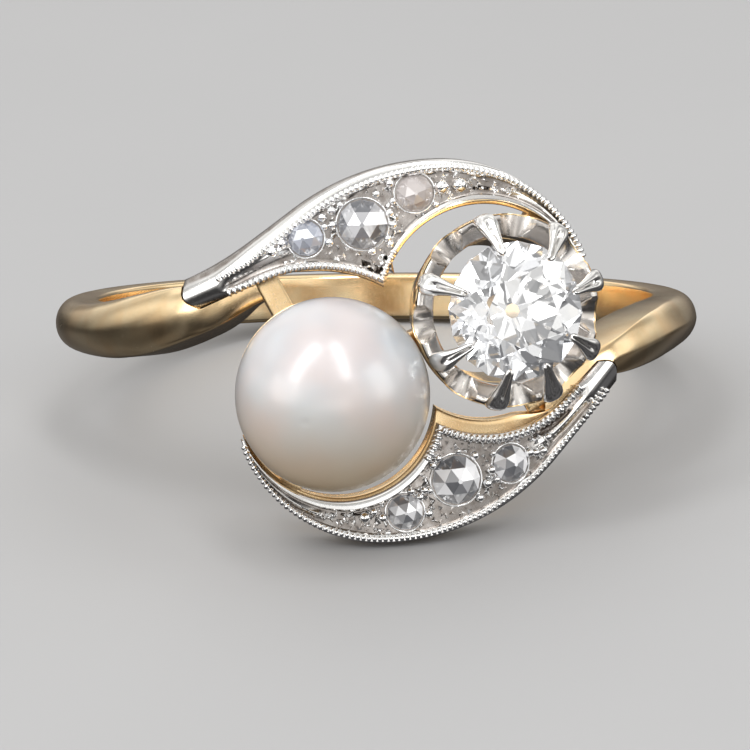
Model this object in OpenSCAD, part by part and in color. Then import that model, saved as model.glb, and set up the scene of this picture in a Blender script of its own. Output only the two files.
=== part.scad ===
// Toi et moi ring: a pearl and a round diamond side by side, each held in the
// curl of a platinum leaf that grows out of one shoulder of a gold shank.
// The finger hole's axis is the ring's own Z, the head faces -Y, and the
// finished ring lies on its side, resting on the lower leaf and the back of
// the shank.

/* [Finger hole and shank] */
// Inside diameter of the ring
finger_d = 17.3; // [15.5:0.1:20]
// Width of the shank at the back, along the finger
band_w = 1.5; // [1.2:0.05:2]
// Thickness of the shank at the back
band_t = 1.35; // [1:0.05:1.8]
// Height of the rounded top above the shank's side walls
band_dome = 0.7; // [0.3:0.05:0.9]

/* [Leaves] */
// Height of the leaves' faces above the finger hole
head_h = 2.2; // [2:0.05:2.8]
// Thickness of the platinum
leaf_t = 0.5; // [0.4:0.05:0.6]
// Thickness of the gold plate under it
plate_t = 0.8; // [0.5:0.05:1]
// Gap between platinum and gold
solder_gap = 0.02; // [0.01:0.01:0.04]
// Set-back of the gold plate behind the platinum's edge
edge_step = 0.12; // [0:0.02:0.2]
// Width of the upper leaf between its curl and its highest point
upper_w = 1.27; // [1.1:0.02:1.6]
// Width of the lower leaf there
lower_w = 1.19; // [1.1:0.02:1.6]
// Extra radius of the outer edge round the upper leaf's tip
upper_tip = 1.67; // [1.5:0.05:2]
// Extra radius of the outer edge round the lower leaf's tip
lower_tip = 1.15; // [1.1:0.05:1.6]
// Extra radius of the upper leaf's outer edge toward the shoulder
upper_back = 2.1; // [1.8:0.1:3]
// Extra radius of the lower leaf's outer edge toward the shoulder
lower_back = 3.1; // [2.4:0.1:3.4]
// How far the highest point of a leaf lies inside its stone's axis
peak_in = 1.72; // [1.4:0.1:2.2]
// Height of the upper leaf's tip above the mid plane
upper_tip_z = 2.35; // [2.2:0.05:3]
// Height of the lower leaf's tip above the mid plane
lower_tip_z = 2.8; // [2.2:0.05:3]
// Slope at which the upper leaf runs down to the shank, degrees
upper_slope = 38; // [35:1:45]
// Slope at which the lower leaf runs down to the shank, degrees
lower_slope = 47; // [40:1:48]
// How strongly the upper leaf flattens again toward its end
upper_flare = 0.08; // [0:0.01:0.12]
// Distance from the middle of the head to a leaf's shoulder end
leaf_end = 6.43; // [6:0.05:7]
// Width of a leaf at its shoulder end
end_w = 0.9; // [0.6:0.05:1]
// Width of the raised edge
rim_w = 0.28; // [0.2:0.02:0.34]
// Height of the raised edge above the recess
rim_h = 0.12; // [0.05:0.01:0.2]
// How far the gold plate shows inside a leaf's curl
curl_ledge = 0.12; // [0:0.02:0.2]
// Gold ledge inside the upper leaf's shoulder
upper_ledge = 0.1; // [0.05:0.05:0.3]
// Gold ledge inside the lower leaf's shoulder
lower_ledge = 0.4; // [0.1:0.05:0.5]

/* [Pearl and its cup] */
// Diameter of the pearl
pearl_d = 5.7; // [5:0.1:6.4]
// Height of the pearl's centre above the finger hole
pearl_up = 3.75; // [3.5:0.05:4.4]
// Wall of the cup
cup_wall = 0.22; // [0.15:0.01:0.35]
// Gap between pearl and cup
cup_gap = 0.03; // [0.01:0.01:0.06]
// Depth of the cup's rim below the pearl's centre
cup_low = 1.5; // [0.8:0.05:1.6]
// Diameter of the peg that enters the pearl
peg_d = 0.8; // [0.6:0.05:1]
// Length of peg inside the pearl
peg_l = 2; // [1:0.1:3]

/* [Diamond and its crown] */
// Diameter of the diamond
diamond_d = 4.1; // [3.6:0.05:4.5]
// Height of the diamond's girdle above the finger hole
diamond_up = 4.15; // [3.9:0.05:4.6]
// Diameter over the claws
crown_d = 5.7; // [5.2:0.05:6.2]
// Turn of the crown away from the middle of the head, degrees
crown_turn = 12; // [4:1:16]
// Rise of the crown out of the ring's mid plane, degrees
crown_rise = 3; // [0:1:6]
// Number of claws
claws = 8; // [6:1:8]
// Angle of the first claw, degrees
claw_at = 20; // [0:1:44]
// Width of a claw
claw_w = 0.58; // [0.4:0.02:0.7]
// Wall of the crown
crown_wall = 0.42; // [0.3:0.02:0.5]
// Height of the coronet's rim below the girdle
crown_low = 0.62; // [0.5:0.02:0.9]
// Height of the platinum coronet
crown_h = 1.05; // [0.8:0.05:1.2]
// Height of the gold collet under it
collet_h = 1.7; // [1.4:0.05:1.9]
// How much the collet narrows toward its foot
collet_in = 0.45; // [0.2:0.05:0.5]
// Width of the coronet's crest
crest_w = 0.22; // [0.15:0.01:0.3]
// Gap between stones and their seats
seat_gap = 0.02; // [0.01:0.01:0.04]

/* [Small stones] */
// Diameter of the small rose cuts
small_d = 1.06; // [0.9:0.02:1.16]
// Diameter of the large rose cuts
large_d = 1.46; // [1.3:0.02:1.6]
// Diameter of the medium rose cuts
medium_d = 1.1; // [0.9:0.02:1.2]
// Depth of their seats below the recess
seat_depth = 0.24; // [0.15:0.01:0.26]

/* [Head layout] */
// Clearance between pearl and crown
stone_gap = 0.04; // [0.02:0.02:0.3]
// Slant of the line through both stones, degrees
head_slant = 24; // [20:1:28]
// Clearance between the crown and the upper leaf's curl
upper_gap = 0.27; // [0.2:0.01:0.4]
// Clearance between the pearl and the lower leaf's curl
lower_gap = 0.18; // [0.15:0.01:0.3]
// Shift of the upper leaf's curl toward the middle of the head
upper_curl_in = 0.37; // [0.25:0.02:0.5]
// Shift of the lower leaf's curl toward the middle of the head
lower_curl_in = 0.52; // [0.4:0.02:0.6]
// Shift of the upper leaf's curl toward the mid plane
upper_curl_down = 0.03; // [0:0.01:0.1]
// Shift of the lower leaf's curl away from the mid plane
lower_curl_out = 0.4; // [0.3:0.02:0.5]
// Clearance between the upper leaf's shoulder and the pearl
upper_clear = 1.06; // [0.9:0.02:1.3]
// Clearance between the lower leaf's shoulder and the crown
lower_clear = 0.56; // [0.4:0.02:0.8]
// How far the diamond stands away from the middle of the head
diamond_out = 0.28; // [0.2:0.02:0.5]
// How far the pearl stands toward the middle of the head
pearl_in = 0.18; // [0:0.02:0.2]
// How far the pearl stands below the line through the stones
pearl_low = 0.04; // [0:0.01:0.1]
// Width of the struts and bridges that carry cup and collet
strut_w = 0.7; // [0.5:0.05:0.9]

/* [Hidden] */
$fn = 64;
small = 0.001;

bore_r = finger_d / 2;
face_r = bore_r + head_h;
under_leaf_r = face_r - leaf_t;
plate_top_r = under_leaf_r - solder_gap;
plate_low_r = plate_top_r - plate_t;
pearl_r = pearl_d / 2;
crown_r = crown_d / 2;
hb = band_w / 2;
far = 2 * (bore_r + diamond_up);

// Places of the two stones, seen from the front of the head: the diamond is
// at (+stone_x, +stone_z) and the pearl opposite.
half_span = (pearl_r + crown_r + stone_gap) / 2;
stone_x = half_span * cos(head_slant);
stone_z = half_span * sin(head_slant);
pearl_at = [pearl_in - stone_x, -(bore_r + pearl_up), -stone_z - pearl_low];
diamond_at = [stone_x + diamond_out, -(bore_r + diamond_up), stone_z];

// ---- outlines of the leaves, both drawn in the upper leaf's place: x along
// the head, z up. Each leaf is a list: curl's radius, its centre x and z,
// shoulder's radius, its centre x and z, highest point, radius round the tip,
// radius toward the shoulder, slope, flare, height of the tip, gold ledge
UPPER = [crown_r + upper_gap, stone_x - upper_curl_in, stone_z - upper_curl_down,
         pearl_r + upper_clear, pearl_at[0] - 0.11, pearl_at[2] - 0.39,
         stone_z - upper_curl_down + crown_r + upper_gap + upper_w,
         crown_r + upper_gap + upper_tip, crown_r + upper_gap + upper_tip + upper_back,
         upper_slope, upper_flare, upper_tip_z, upper_ledge];
LOWER = [pearl_r + lower_gap, stone_x - lower_curl_in, stone_z + lower_curl_out,
         crown_r + lower_clear, 0.54 - diamond_at[0], 0.42 - diamond_at[2],
         stone_z + lower_curl_out + pearl_r + lower_gap + lower_w,
         pearl_r + lower_gap + lower_tip, pearl_r + lower_gap + lower_tip + lower_back,
         lower_slope, 0, lower_tip_z, lower_ledge];
function curl_r(L) = L[0];
function curl_at(L) = [L[1], L[2]];
function side_r(L) = L[3];
function side_at(L) = [L[4], L[5]];
function peak_z(L) = L[6];
function tip_r(L) = L[7];
function back_r(L) = L[8];
function slope(L) = L[9];
function flare(L) = L[10];
function tip_z(L) = L[11];
function ledge(L) = L[12];
peak_x = stone_x - peak_in;
// where the flare begins
flare_x = 0.28 * leaf_end - leaf_end;
// height of the outer edge at x
function arc_x(L) = peak_x - back_r(L) * sin(slope(L));
function outer_z(x, L) =
    x > peak_x ? peak_z(L) - tip_r(L) + sqrt(max(0, pow(tip_r(L), 2) - pow(x - peak_x, 2)))
    : x > arc_x(L) ? peak_z(L) - back_r(L) + sqrt(pow(back_r(L), 2) - pow(x - peak_x, 2))
    : peak_z(L) - back_r(L) * (1 - cos(slope(L))) - (arc_x(L) - x) * tan(slope(L))
      + flare(L) * pow(max(0, flare_x - x), 2);
// direction of the outer edge at x, degrees, beyond the arc
function run(x, L) = atan(tan(slope(L)) - 2 * flare(L) * max(0, flare_x - x));
// height of the inner edge at x
function inner_z(x, L) = max(
    abs(x - curl_at(L)[0]) < curl_r(L) ? curl_at(L)[1] + sqrt(pow(curl_r(L), 2) - pow(x - curl_at(L)[0], 2)) : -9,
    abs(x - side_at(L)[0]) < side_r(L) ? side_at(L)[1] + sqrt(pow(side_r(L), 2) - pow(x - side_at(L)[0], 2)) : -9);
// point of the outer edge at x, moved d inward
function edge_point(x, L, d) = [x, outer_z(x, L)] + d * [sin(run(x, L)), -cos(run(x, L))];
// the end of the leaf on the shank: outer corner, inner corner
function end_along(L) = [cos(run(-leaf_end, L)), sin(run(-leaf_end, L))];
function end_out(L, d) = edge_point(-leaf_end, L, d) + 2 * d * end_along(L);
function end_in(L, d) = edge_point(-leaf_end, L, end_w - d) + 2 * d * end_along(L);
// point where a line from p touches the circle round c with radius q, upper side
function touch(p, c, q) = let (v = c - p, l = norm(v), t = sqrt(max(small, l * l - q * q)),
                               a = atan2(v[1], v[0]) + asin(min(1, q / l)))
    p + t * [cos(a), sin(a)];
// whole outline, drawn d inside the leaf's edges; its inner side runs through
// the two circles that are cut away afterward
function outline(L, d) = concat(
    [for (k = [0:1:20]) let (b = asin((tip_z(L) - peak_z(L) + tip_r(L)) / tip_r(L)), a = b + (90 - b) * k / 20)
        [peak_x, peak_z(L) - tip_r(L)] + (tip_r(L) - d) * [cos(a), sin(a)]],
    [for (k = [1:1:9]) let (a = 90 + slope(L) * k / 9)
        [peak_x, peak_z(L) - back_r(L)] + (back_r(L) - d) * [cos(a), sin(a)]],
    [for (k = [0:1:3]) edge_point(flare_x - k * (leaf_end + flare_x) / 5, L, d)],
    let (a = end_out(L, d), b = end_in(L, d), w = norm(a - b), m = (a + b) / 2,
         u = (a - b) / max(small, w), n = [u[1], -u[0]])
        [for (k = [0:1:6]) let (t = k / 6) m + u * w * cos(180 * t) / 2 - n * 0.35 * w * sin(180 * t)],
    [touch(end_in(L, d), side_at(L), side_r(L) + d - 0.02)],
    [[side_at(L)[0], stone_z], curl_at(L)]);

// ---- placing
module turned(lower) rotate([0, lower ? 180 : 0, 0]) children();
// extrudes a shape drawn in the head's plane straight back toward the finger
module from_front() translate([0, -bore_r / 2, 0]) rotate([90, 0, 0]) linear_extrude(far / 2) children();
module finger_cylinder(r) cylinder(r = r, h = 2 * far, center = true, $fn = 128);
module front_cylinder(at, r) translate([at[0], -bore_r / 3, at[1]]) rotate([90, 0, 0]) cylinder(r = r, h = far / 2 + bore_r, $fn = 96);

// leaf-shaped bar from the finger out to beyond the face
module leaf_bar(L, d, ledge) difference() {
    from_front() polygon(outline(L, d));
    front_cylinder(curl_at(L), curl_r(L) + d - (ledge > 0 ? d + curl_ledge : 0));
    front_cylinder(side_at(L), side_r(L) + d - ledge);
}

// place of a small stone: share of stone_x along the leaf, share of its width
STONES = [["small", -1.16, 0.47], ["large", -0.52, 0.5], ["medium", 0.07, 0.53]];
function pave_x(k) = STONES[k][1] * stone_x;
function pave_z(k, L) = let (x = pave_x(k), a = inner_z(x, L), b = outer_z(x, L)) a + STONES[k][2] * (b - a);
module at_pave(k, L) rotate([0, 0, asin(pave_x(k) / face_r)])
    translate([0, -(face_r - rim_h), pave_z(k, L)]) rotate([90, 0, 0]) children();

// the lower leaf has its small and medium stones the other way round
UPPER_D = [small_d, large_d, medium_d];
LOWER_D = [medium_d, large_d, small_d];

// ---- platinum leaf
module leaf(L, sizes) difference() {
    intersection() {
        leaf_bar(L, 0, 0);
        finger_cylinder(face_r);
    }
    finger_cylinder(under_leaf_r);
    difference() {
        leaf_bar(L, rim_w, 0);
        finger_cylinder(face_r - rim_h);
    }
    for (k = [0:1:2]) at_pave(k, L)
        translate([0, 0, -seat_depth]) cylinder(d = sizes[k] + 2 * seat_gap, h = 2, $fn = 48);
}

// ---- gold plate under it, and the pocket that the leaf lies in
module plate(L) difference() {
    intersection() {
        leaf_bar(L, edge_step, ledge(L) + edge_step);
        finger_cylinder(plate_top_r);
    }
    finger_cylinder(plate_low_r);
}
module pocket(L) difference() {
    leaf_bar(L, -solder_gap, 0);
    finger_cylinder(plate_top_r);
}

// ---- shank: sections from one leaf round the back to the other
// angle from the head; how far the outer edge has left the shank's own; the
// same for the inner edge; rise of the top; part left of the dome; rise of
// the underside toward the plate
SHOULDER = [
    // angle, outer, inner, top, dome, under
    [180, 0, 0, 0, 1, 0],
    [90, 0, 0, 0, 1, 0],
    [80, 0.03, 0, 0.03, 0.98, 0],
    [70, 0.12, 0, 0.11, 0.93, 0],
    [60, 0.33, 0.02, 0.28, 0.84, 0],
    [50, 0.64, 0.11, 0.55, 0.68, 0],
    [44, 0.84, 0.22, 0.75, 0.56, 0],
    [38, 1, 0.38, 0.94, 0.42, 0],
    [34, 1, 0.5, 0.93, 0.35, 0],
    [30, 1, 0.65, 0.72, 0.3, 0.4],
    [27, 1, 0.8, 0.5, 0.25, 0.75],
    [24, 1, 1, 0.24, 0.15, 1]];
ANGLES = [24, 27, 30, 32, 34, 36, 38, 41, 44, 47, 50, 53.5, 57, 60, 63, 66.5, 70, 75, 80, 85,
          90, 96, 102, 108, 114, 120, 126, 132, 138, 144, 150, 156, 162, 168, 174];
function share(u, col) = lookup(u, [for (q = SHOULDER) [q[0], q[col]]]);
end_u = asin(leaf_end / face_r);
// how far the shank's outer sides stay inside the plates' edges
side_in = edge_step + 0.06;
function top_z(u, L) = u < end_u ? outer_z(-face_r * sin(u), L) - side_in
    : hb + (outer_z(-leaf_end, L) - side_in - hb) * share(u, 1);
function low_z(u, L) = -hb
    + (inner_z(-face_r * sin(24), L) - ledge(L) - edge_step - 0.15 + hb) * share(u, 2);
function section(a, u, zt, zb, flip) =
    let (rt = bore_r + band_t + (head_h - band_t) * share(u, 3),
         re = rt - band_dome * share(u, 4),
         ri = bore_r - 0.3 + (plate_low_r + 0.15 - bore_r + 0.3) * share(u, 5),
         z1 = flip ? -zb : zt, z0 = flip ? -zt : zb, m = (z0 + z1) / 2, w = (z1 - z0) / 2,
         d = [sin(a), -cos(a)])
    [for (q = concat([[ri, z0], [ri, z1]],
                     [for (t = [0:22.5:180]) [re + (rt - re) * sin(t), m + w * cos(t)]]))
        [q[0] * d[0], q[0] * d[1], q[1]]];
RIGHT = [for (u = ANGLES) section(u, u, top_z(u, LOWER), low_z(u, LOWER), true)];
LEFT = [for (k = [len(ANGLES) - 1:-1:0]) let (u = ANGLES[k]) section(-u, u, top_z(u, UPPER), low_z(u, UPPER), false)];
module shank() {
    rings = concat(RIGHT, [section(180, 180, hb, -hb, false)], LEFT);
    n = len(rings[0]);
    last = (len(rings) - 1) * n;
    polyhedron(
        [for (q = rings) for (p = q) p],
        concat([[for (k = [0:1:n - 1]) k]],
               [for (i = [0:1:len(rings) - 2]) for (k = [0:1:n - 1])
                   let (a = i * n + k, b = i * n + (k + 1) % n) each [[a, a + n, b], [b, a + n, b + n]]],
               [[for (k = [n - 1:-1:0]) last + k]]));
}

// ---- pearl, its cup and its peg
module at_pearl() translate(pearl_at) rotate([90, 0, 0]) children();
module cup_outer() at_pearl() rotate_extrude($fn = 96) intersection() {
    circle(r = pearl_r + cup_gap + cup_wall, $fn = 96);
    translate([0, -pearl_d]) square([pearl_d, pearl_d - cup_low]);
}
module cup_inner() at_pearl() sphere(r = pearl_r + cup_gap, $fn = 96);
module peg() at_pearl() translate([0, 0, -pearl_r - cup_gap - cup_wall / 2])
    cylinder(d = peg_d, h = cup_gap + cup_wall / 2 + peg_l, $fn = 32);
module pearl() color("ivory") difference() {
    at_pearl() sphere(r = pearl_r, $fn = 96);
    at_pearl() translate([0, 0, -pearl_r - 1])
        cylinder(d = peg_d + 2 * seat_gap, h = 1 + peg_l + seat_gap, $fn = 32);
}

// ---- crown: local z points outward along the diamond's axis, 0 at the girdle
module at_diamond() translate(diamond_at) rotate([90 - crown_rise, 0, 0]) rotate([0, crown_turn, 0]) children();
rim_r = crown_r - 0.05;
waist_r = crown_r - 0.22;
module revolve(points) rotate_extrude($fn = 96) polygon(points);
foot_r = waist_r - collet_in;
mid_r = waist_r - collet_in / 2;
// gold collet, a tapered ring open at the back
module collet() at_diamond() revolve([
    [foot_r - 0.3, -crown_low - crown_h - collet_h],
    [foot_r, -crown_low - crown_h - collet_h],
    [waist_r + 0.02, -crown_low - crown_h],
    [rim_r - 0.04, -crown_low - 0.62],
    [rim_r - crown_wall / 2 - 0.04, -crown_low - 0.62],
    [waist_r - crown_wall / 2, -crown_low - crown_h],
    [waist_r - crown_wall - 0.1, -crown_low - crown_h]]);
module coronet() revolve([
    [waist_r - crown_wall - 0.08, -crown_low - crown_h + solder_gap],
    [waist_r - crown_wall / 2 - solder_gap, -crown_low - crown_h + solder_gap],
    [rim_r - crown_wall / 2 - 0.04 - solder_gap, -crown_low - 0.62 + solder_gap],
    [rim_r - 0.04, -crown_low - 0.62 + solder_gap],
    [crown_r - 0.03, -crown_low],
    [crown_r - 0.03 - crest_w, -crown_low],
    [rim_r - crown_wall - 0.2, -crown_low - 0.38]]);
girdle_t = 0.06;
table_r = 0.52 * diamond_d / 2;
table_h = 0.17 * diamond_d;
culet_h = 0.44 * diamond_d;
star_r = table_r + 0.42 * (diamond_d / 2 - table_r);
star_h = table_h - (table_h - girdle_t / 2) * (star_r * cos(22.5) - table_r) / (diamond_d / 2 - table_r);
// side view of a claw: rises from the coronet, leans in, holds the girdle
module claw_shape() {
    g = diamond_d / 2 + seat_gap;
    tip = diamond_d / 2 - 0.42;
    // height of the stone's edge under the claw's end, and room above it
    over = star_h - (star_h - girdle_t / 2) * (tip - star_r) / (diamond_d / 2 - star_r) + 1.5 * seat_gap;
    polygon([[crown_r - crown_wall, -crown_low - 0.3], [crown_r - 0.03, -crown_low - 0.3],
             [crown_r + 0.02, -crown_low], [crown_r + 0.05, -crown_low + 0.16],
             [crown_r + 0.03, -crown_low + 0.3], [crown_r - 0.08, -crown_low + 0.46],
             [g + 0.1, over + 0.14], [tip + 0.1, over + 0.2], [tip, over + 0.12],
             [tip, over], [g, girdle_t / 2 + seat_gap + 0.06],
             [g, -girdle_t / 2 - seat_gap], [g - 0.16, -girdle_t / 2 - seat_gap - 0.2],
             [g - 0.1, -girdle_t / 2 - 0.42]]);
}
// claws narrow toward the stone
module claw() intersection() {
    rotate([90, 0, 0]) translate([0, 0, -claw_w / 2]) linear_extrude(claw_w) claw_shape();
    translate([0, 0, -far / 4]) linear_extrude(far / 2)
        polygon([[0, -claw_w * 0.2], [diamond_d / 2 - 0.42, -claw_w * 0.24], [crown_r - 0.35, -claw_w * 0.46],
                 [crown_r - 0.1, -claw_w * 0.51], [crown_r + 1, -claw_w * 0.51], [crown_r + 1, claw_w * 0.51],
                 [crown_r - 0.1, claw_w * 0.51], [crown_r - 0.35, claw_w * 0.46],
                 [diamond_d / 2 - 0.42, claw_w * 0.24], [0, claw_w * 0.2]]);
}
// the claws were filed up by eye, so each stands a few degrees off its even place
CLAW_SHIFT = [-2, -7, -3, 7, 13, 14, 6, -1];
function claw_turn(k) = claw_at + k * 360 / claws + CLAW_SHIFT[k % claws];
module crown() color("silver") at_diamond() difference() {
    union() {
        coronet();
        for (k = [0:1:claws - 1]) rotate([0, 0, claw_turn(k)]) claw();
    }
    // a rounded notch between each two claws
    for (k = [0:1:claws - 1]) let (span = claw_turn(k + 1) - claw_turn(k))
        rotate([0, 0, claw_turn(k) + span / 2]) translate([crown_r - 1, 0, -crown_low + 0.14])
            rotate([0, 90, 0]) cylinder(d = 0.8 + 0.35 * span / 45, h = 2, $fn = 40);
}

// ---- what carries cup and collet: bars between them and the plates, cut from
// the same shell round the finger as the plates are
carry_low_r = plate_low_r + 0.1;
module bar(c, a, r0, r1) translate([c[0], 0, c[1]]) rotate([0, -a, 0])
    translate([r0, -far / 2, -strut_w / 2]) cube([r1 - r0, far / 2 - bore_r / 2, strut_w]);
waist_low = crown_low + crown_h + collet_h / 2;
waist_at = [diamond_at[0] - waist_low * sin(crown_turn), diamond_at[2] - waist_low * sin(crown_rise)];
cup_at = [pearl_at[0], pearl_at[2]];
module carriers() difference() {
    intersection() {
        union() {
            // struts from the shoulders
            bar(cup_at, 118, 0.3, side_r(UPPER));
            bar(waist_at, 298, mid_r - 0.2, side_r(LOWER));
            // bridges to the curls' far sides
            bar(cup_at, 250, 0.3, curl_r(LOWER) + 0.3);
            bar(waist_at, 60, mid_r - 0.2, curl_r(UPPER) + 0.25);
            // bridge between cup and collet
            bar([0, 0], head_slant, 0.3 - half_span, norm(waist_at) - mid_r + 0.2);
        }
        finger_cylinder(plate_top_r);
    }
    finger_cylinder(carry_low_r);
}

module gold_frame() color("gold") difference() {
    union() {
        shank();
        plate(UPPER);
        turned(true) plate(LOWER);
        difference() {
            union() {
                carriers();
                cup_outer();
            }
            cup_inner();
            at_diamond() translate([0, 0, -crown_low - crown_h - collet_h])
                cylinder(r1 = foot_r - 0.05, r2 = waist_r - 0.05, h = collet_h, $fn = 96);
        }
        collet();
        peg();
    }
    finger_cylinder(bore_r);
    pocket(UPPER);
    turned(true) pocket(LOWER);
}

// ---- stones
function ring(n, r, z, a0 = 0) = [for (k = [0:1:n - 1]) [r * cos(a0 + 360 * k / n), r * sin(a0 + 360 * k / n), z]];
// old round cut: table, stars, kites and halves above, mains and halves below, open culet
module diamond_stone() {
    R = diamond_d / 2;
    c8 = cos(22.5);
    cul_r = 0.11 * R;
    low_r = 0.45 * R;
    low_h = -culet_h + (culet_h - girdle_t / 2) * (low_r * c8 - cul_r) / (R - cul_r);
    pts = concat(ring(8, table_r, table_h), ring(8, star_r, star_h, 22.5),
                 ring(16, R, girdle_t / 2), ring(16, R, -girdle_t / 2),
                 ring(8, low_r, low_h, 22.5), ring(8, cul_r, -culet_h));
    faces = concat(
        [[for (k = [7:-1:0]) k]],
        [for (k = [0:1:7]) let (j = (k + 1) % 8, i = (k + 7) % 8, g = 16 + 2 * k, h = 32 + 2 * k,
                                gn = 16 + (2 * k + 2) % 16, hn = 32 + (2 * k + 2) % 16)
            each [
                [k, j, 8 + k],
                [k, 8 + k, g, 8 + i],
                [8 + k, g + 1, g],
                [8 + k, gn, g + 1],
                [g, g + 1, h + 1, h],
                [g + 1, gn, hn, h + 1],
                [h, h + 1, 48 + k],
                [h + 1, hn, 48 + k],
                [56 + k, 48 + i, h, 48 + k],
                [56 + j, 56 + k, 48 + k]]],
        [[for (k = [0:1:7]) 56 + k]]);
    polyhedron(pts, faces);
}
module diamond() color("white") at_diamond() rotate([0, 0, claw_at - 22.5]) diamond_stone();

// rose cut: flat below, six leaning facets round a small flat top, eighteen beside them
module rose(d, turn) {
    R = d / 2;
    up = 0.16 * d;
    top = up + 0.24 * d;
    mid_r = 0.6 * R;
    mid_h = up + 0.13 * d;
    low = -seat_depth + seat_gap;
    rotate([0, 0, turn]) polyhedron(
        concat(ring(6, 0.1 * R, top), ring(6, mid_r, mid_h), ring(12, R, 0.02), ring(12, 0.92 * R, low)),
        concat([[for (k = [5:-1:0]) k]],
               [for (k = [0:1:5]) let (j = (k + 1) % 6, g = 12 + 2 * k, gp = 12 + (2 * k + 11) % 12,
                                       gn = 12 + (2 * k + 2) % 12)
                   each [[k, j, 6 + j, 6 + k], [6 + k, 6 + j, g + 1], [6 + k, g + 1, g], [6 + k, g, gp],
                         [g, g + 1, g + 13, g + 12], [g + 1, gn, gn + 12, g + 13]]],
               [[for (k = [0:1:11]) 24 + k]]));
}
module upper_stone(k, turn) color("lightgray") at_pave(k, UPPER) rose(UPPER_D[k], turn);
module lower_stone(k, turn) color("lightgray") turned(true) at_pave(k, LOWER) rose(LOWER_D[k], turn);

module upper_leaf() color("silver") leaf(UPPER, UPPER_D);
module lower_leaf() color("silver") turned(true) leaf(LOWER, LOWER_D);

// ---- how the ring lies: on two corners of the lower plate's outer edge and
// on one corner of the shank's back, with its weight over these three points
function low_corner(x, z) = [-x, -sqrt(pow(plate_low_r, 2) - x * x), -z];
corner_a = 90 + slope(LOWER) / 9;
corner_r = back_r(LOWER) - edge_step;
foot_a = low_corner(peak_x, peak_z(LOWER) - edge_step);
foot_b = low_corner(peak_x + corner_r * cos(corner_a), peak_z(LOWER) - back_r(LOWER) + corner_r * sin(corner_a));
back_corner_r = bore_r + band_t - band_dome * (1 - sin(22.5));
foot_c = [back_corner_r * sin(168), -back_corner_r * cos(168), -hb * cos(22.5)];
// direction of the surface below, seen from the ring
across_feet = cross(foot_b - foot_a, foot_c - foot_a);
down = across_feet * (across_feet[2] > 0 ? -1 : 1) / norm(across_feet);
lean = atan2(down[0], -down[2]);
lay = atan2(down[1], norm([down[0], down[2]]));
lift = down * foot_a;
front_y = pearl_at[1] * cos(lay) + (pearl_at[2] * cos(lean) - pearl_at[0] * sin(lean)) * sin(lay) - pearl_r;
back_h = norm([sin(lean) * sin(lay), cos(lay)]);
back_y = (bore_r + band_t - band_dome) * back_h + norm([band_dome * back_h, hb * cos(lean) * sin(lay)]);
module lying() translate([0, -(front_y + back_y) / 2, lift]) rotate([-lay, 0, 0]) rotate([0, lean, 0]) children();

lying() gold_frame();
lying() upper_leaf();
lying() lower_leaf();
lying() crown();
lying() pearl();
lying() diamond();
lying() upper_stone(0, 10);  // upper_small_stone
lying() upper_stone(1, 0);  // upper_large_stone
lying() upper_stone(2, 20);  // upper_medium_stone
lying() lower_stone(2, 15);  // lower_small_stone
lying() lower_stone(1, 5);  // lower_large_stone
lying() lower_stone(0, 25);  // lower_medium_stone
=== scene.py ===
# %% [markdown]
# # A toi et moi ring
#
# A pearl and an old-cut diamond sit side by side on a gold shank, and each lies in the curl
# of a platinum leaf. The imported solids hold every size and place. This script dresses them:
# polished edges, a beaded border, grains that hold the stones, claws with a cut groove, and
# the materials of gold, platinum, nacre and diamond.

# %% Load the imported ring
import math
import random

import bmesh
import bpy
from mathutils import Matrix, Vector, noise


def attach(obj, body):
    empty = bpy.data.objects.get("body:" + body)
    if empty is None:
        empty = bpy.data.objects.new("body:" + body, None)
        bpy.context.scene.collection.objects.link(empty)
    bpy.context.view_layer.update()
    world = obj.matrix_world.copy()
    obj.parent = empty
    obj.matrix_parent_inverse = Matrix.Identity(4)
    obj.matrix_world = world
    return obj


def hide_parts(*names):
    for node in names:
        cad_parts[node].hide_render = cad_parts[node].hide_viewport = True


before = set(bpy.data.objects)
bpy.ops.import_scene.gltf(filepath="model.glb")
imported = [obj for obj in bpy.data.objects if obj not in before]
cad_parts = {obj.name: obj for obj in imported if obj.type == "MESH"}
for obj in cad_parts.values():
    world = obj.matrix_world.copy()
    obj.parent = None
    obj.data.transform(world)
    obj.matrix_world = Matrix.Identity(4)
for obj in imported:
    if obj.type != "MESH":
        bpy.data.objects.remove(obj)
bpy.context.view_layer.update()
print("solids:", ", ".join(sorted(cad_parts)))

# %% [markdown]
# ## Drawn upright, laid down last
#
# A goldsmith thinks of a ring upright round its finger hole. The pieces are therefore drawn
# in millimetres with the finger's axis as Z and the head toward -Y, the way the source does
# it. One matrix lays a finished mesh down on its side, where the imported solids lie. The
# alternative is to model in the lying pose, where no circle is a plain circle any more.

# %% Sizes of the ring, in millimetres
BORE_R = 17.3 / 2
BAND_HALF = 1.5 / 2
BAND_T = 1.35
BAND_DOME = 0.7
FACE_R = BORE_R + 2.2
LEAF_T = 0.5
PLATE_T = 0.8
GAP = 0.02
EDGE_STEP = 0.12
PLATE_TOP = FACE_R - LEAF_T - GAP
PLATE_LOW = PLATE_TOP - PLATE_T
PEARL_R = 5.7 / 2
CROWN_R = 5.7 / 2
GEM_R = 4.1 / 2
CROWN_TURN = math.radians(12)
CROWN_RISE = math.radians(3)
CROWN_LOW = 0.62
CROWN_H = 1.05
COLLET_H = 1.7
COLLET_IN = 0.45
CROWN_WALL = 0.42
CUP_GAP = 0.03
CUP_WALL = 0.22
CUP_LOW = 1.5
HALF_SPAN = (PEARL_R + CROWN_R + 0.04) / 2
SLANT = math.radians(24)
STONE_X = HALF_SPAN * math.cos(SLANT)
STONE_Z = HALF_SPAN * math.sin(SLANT)
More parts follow.
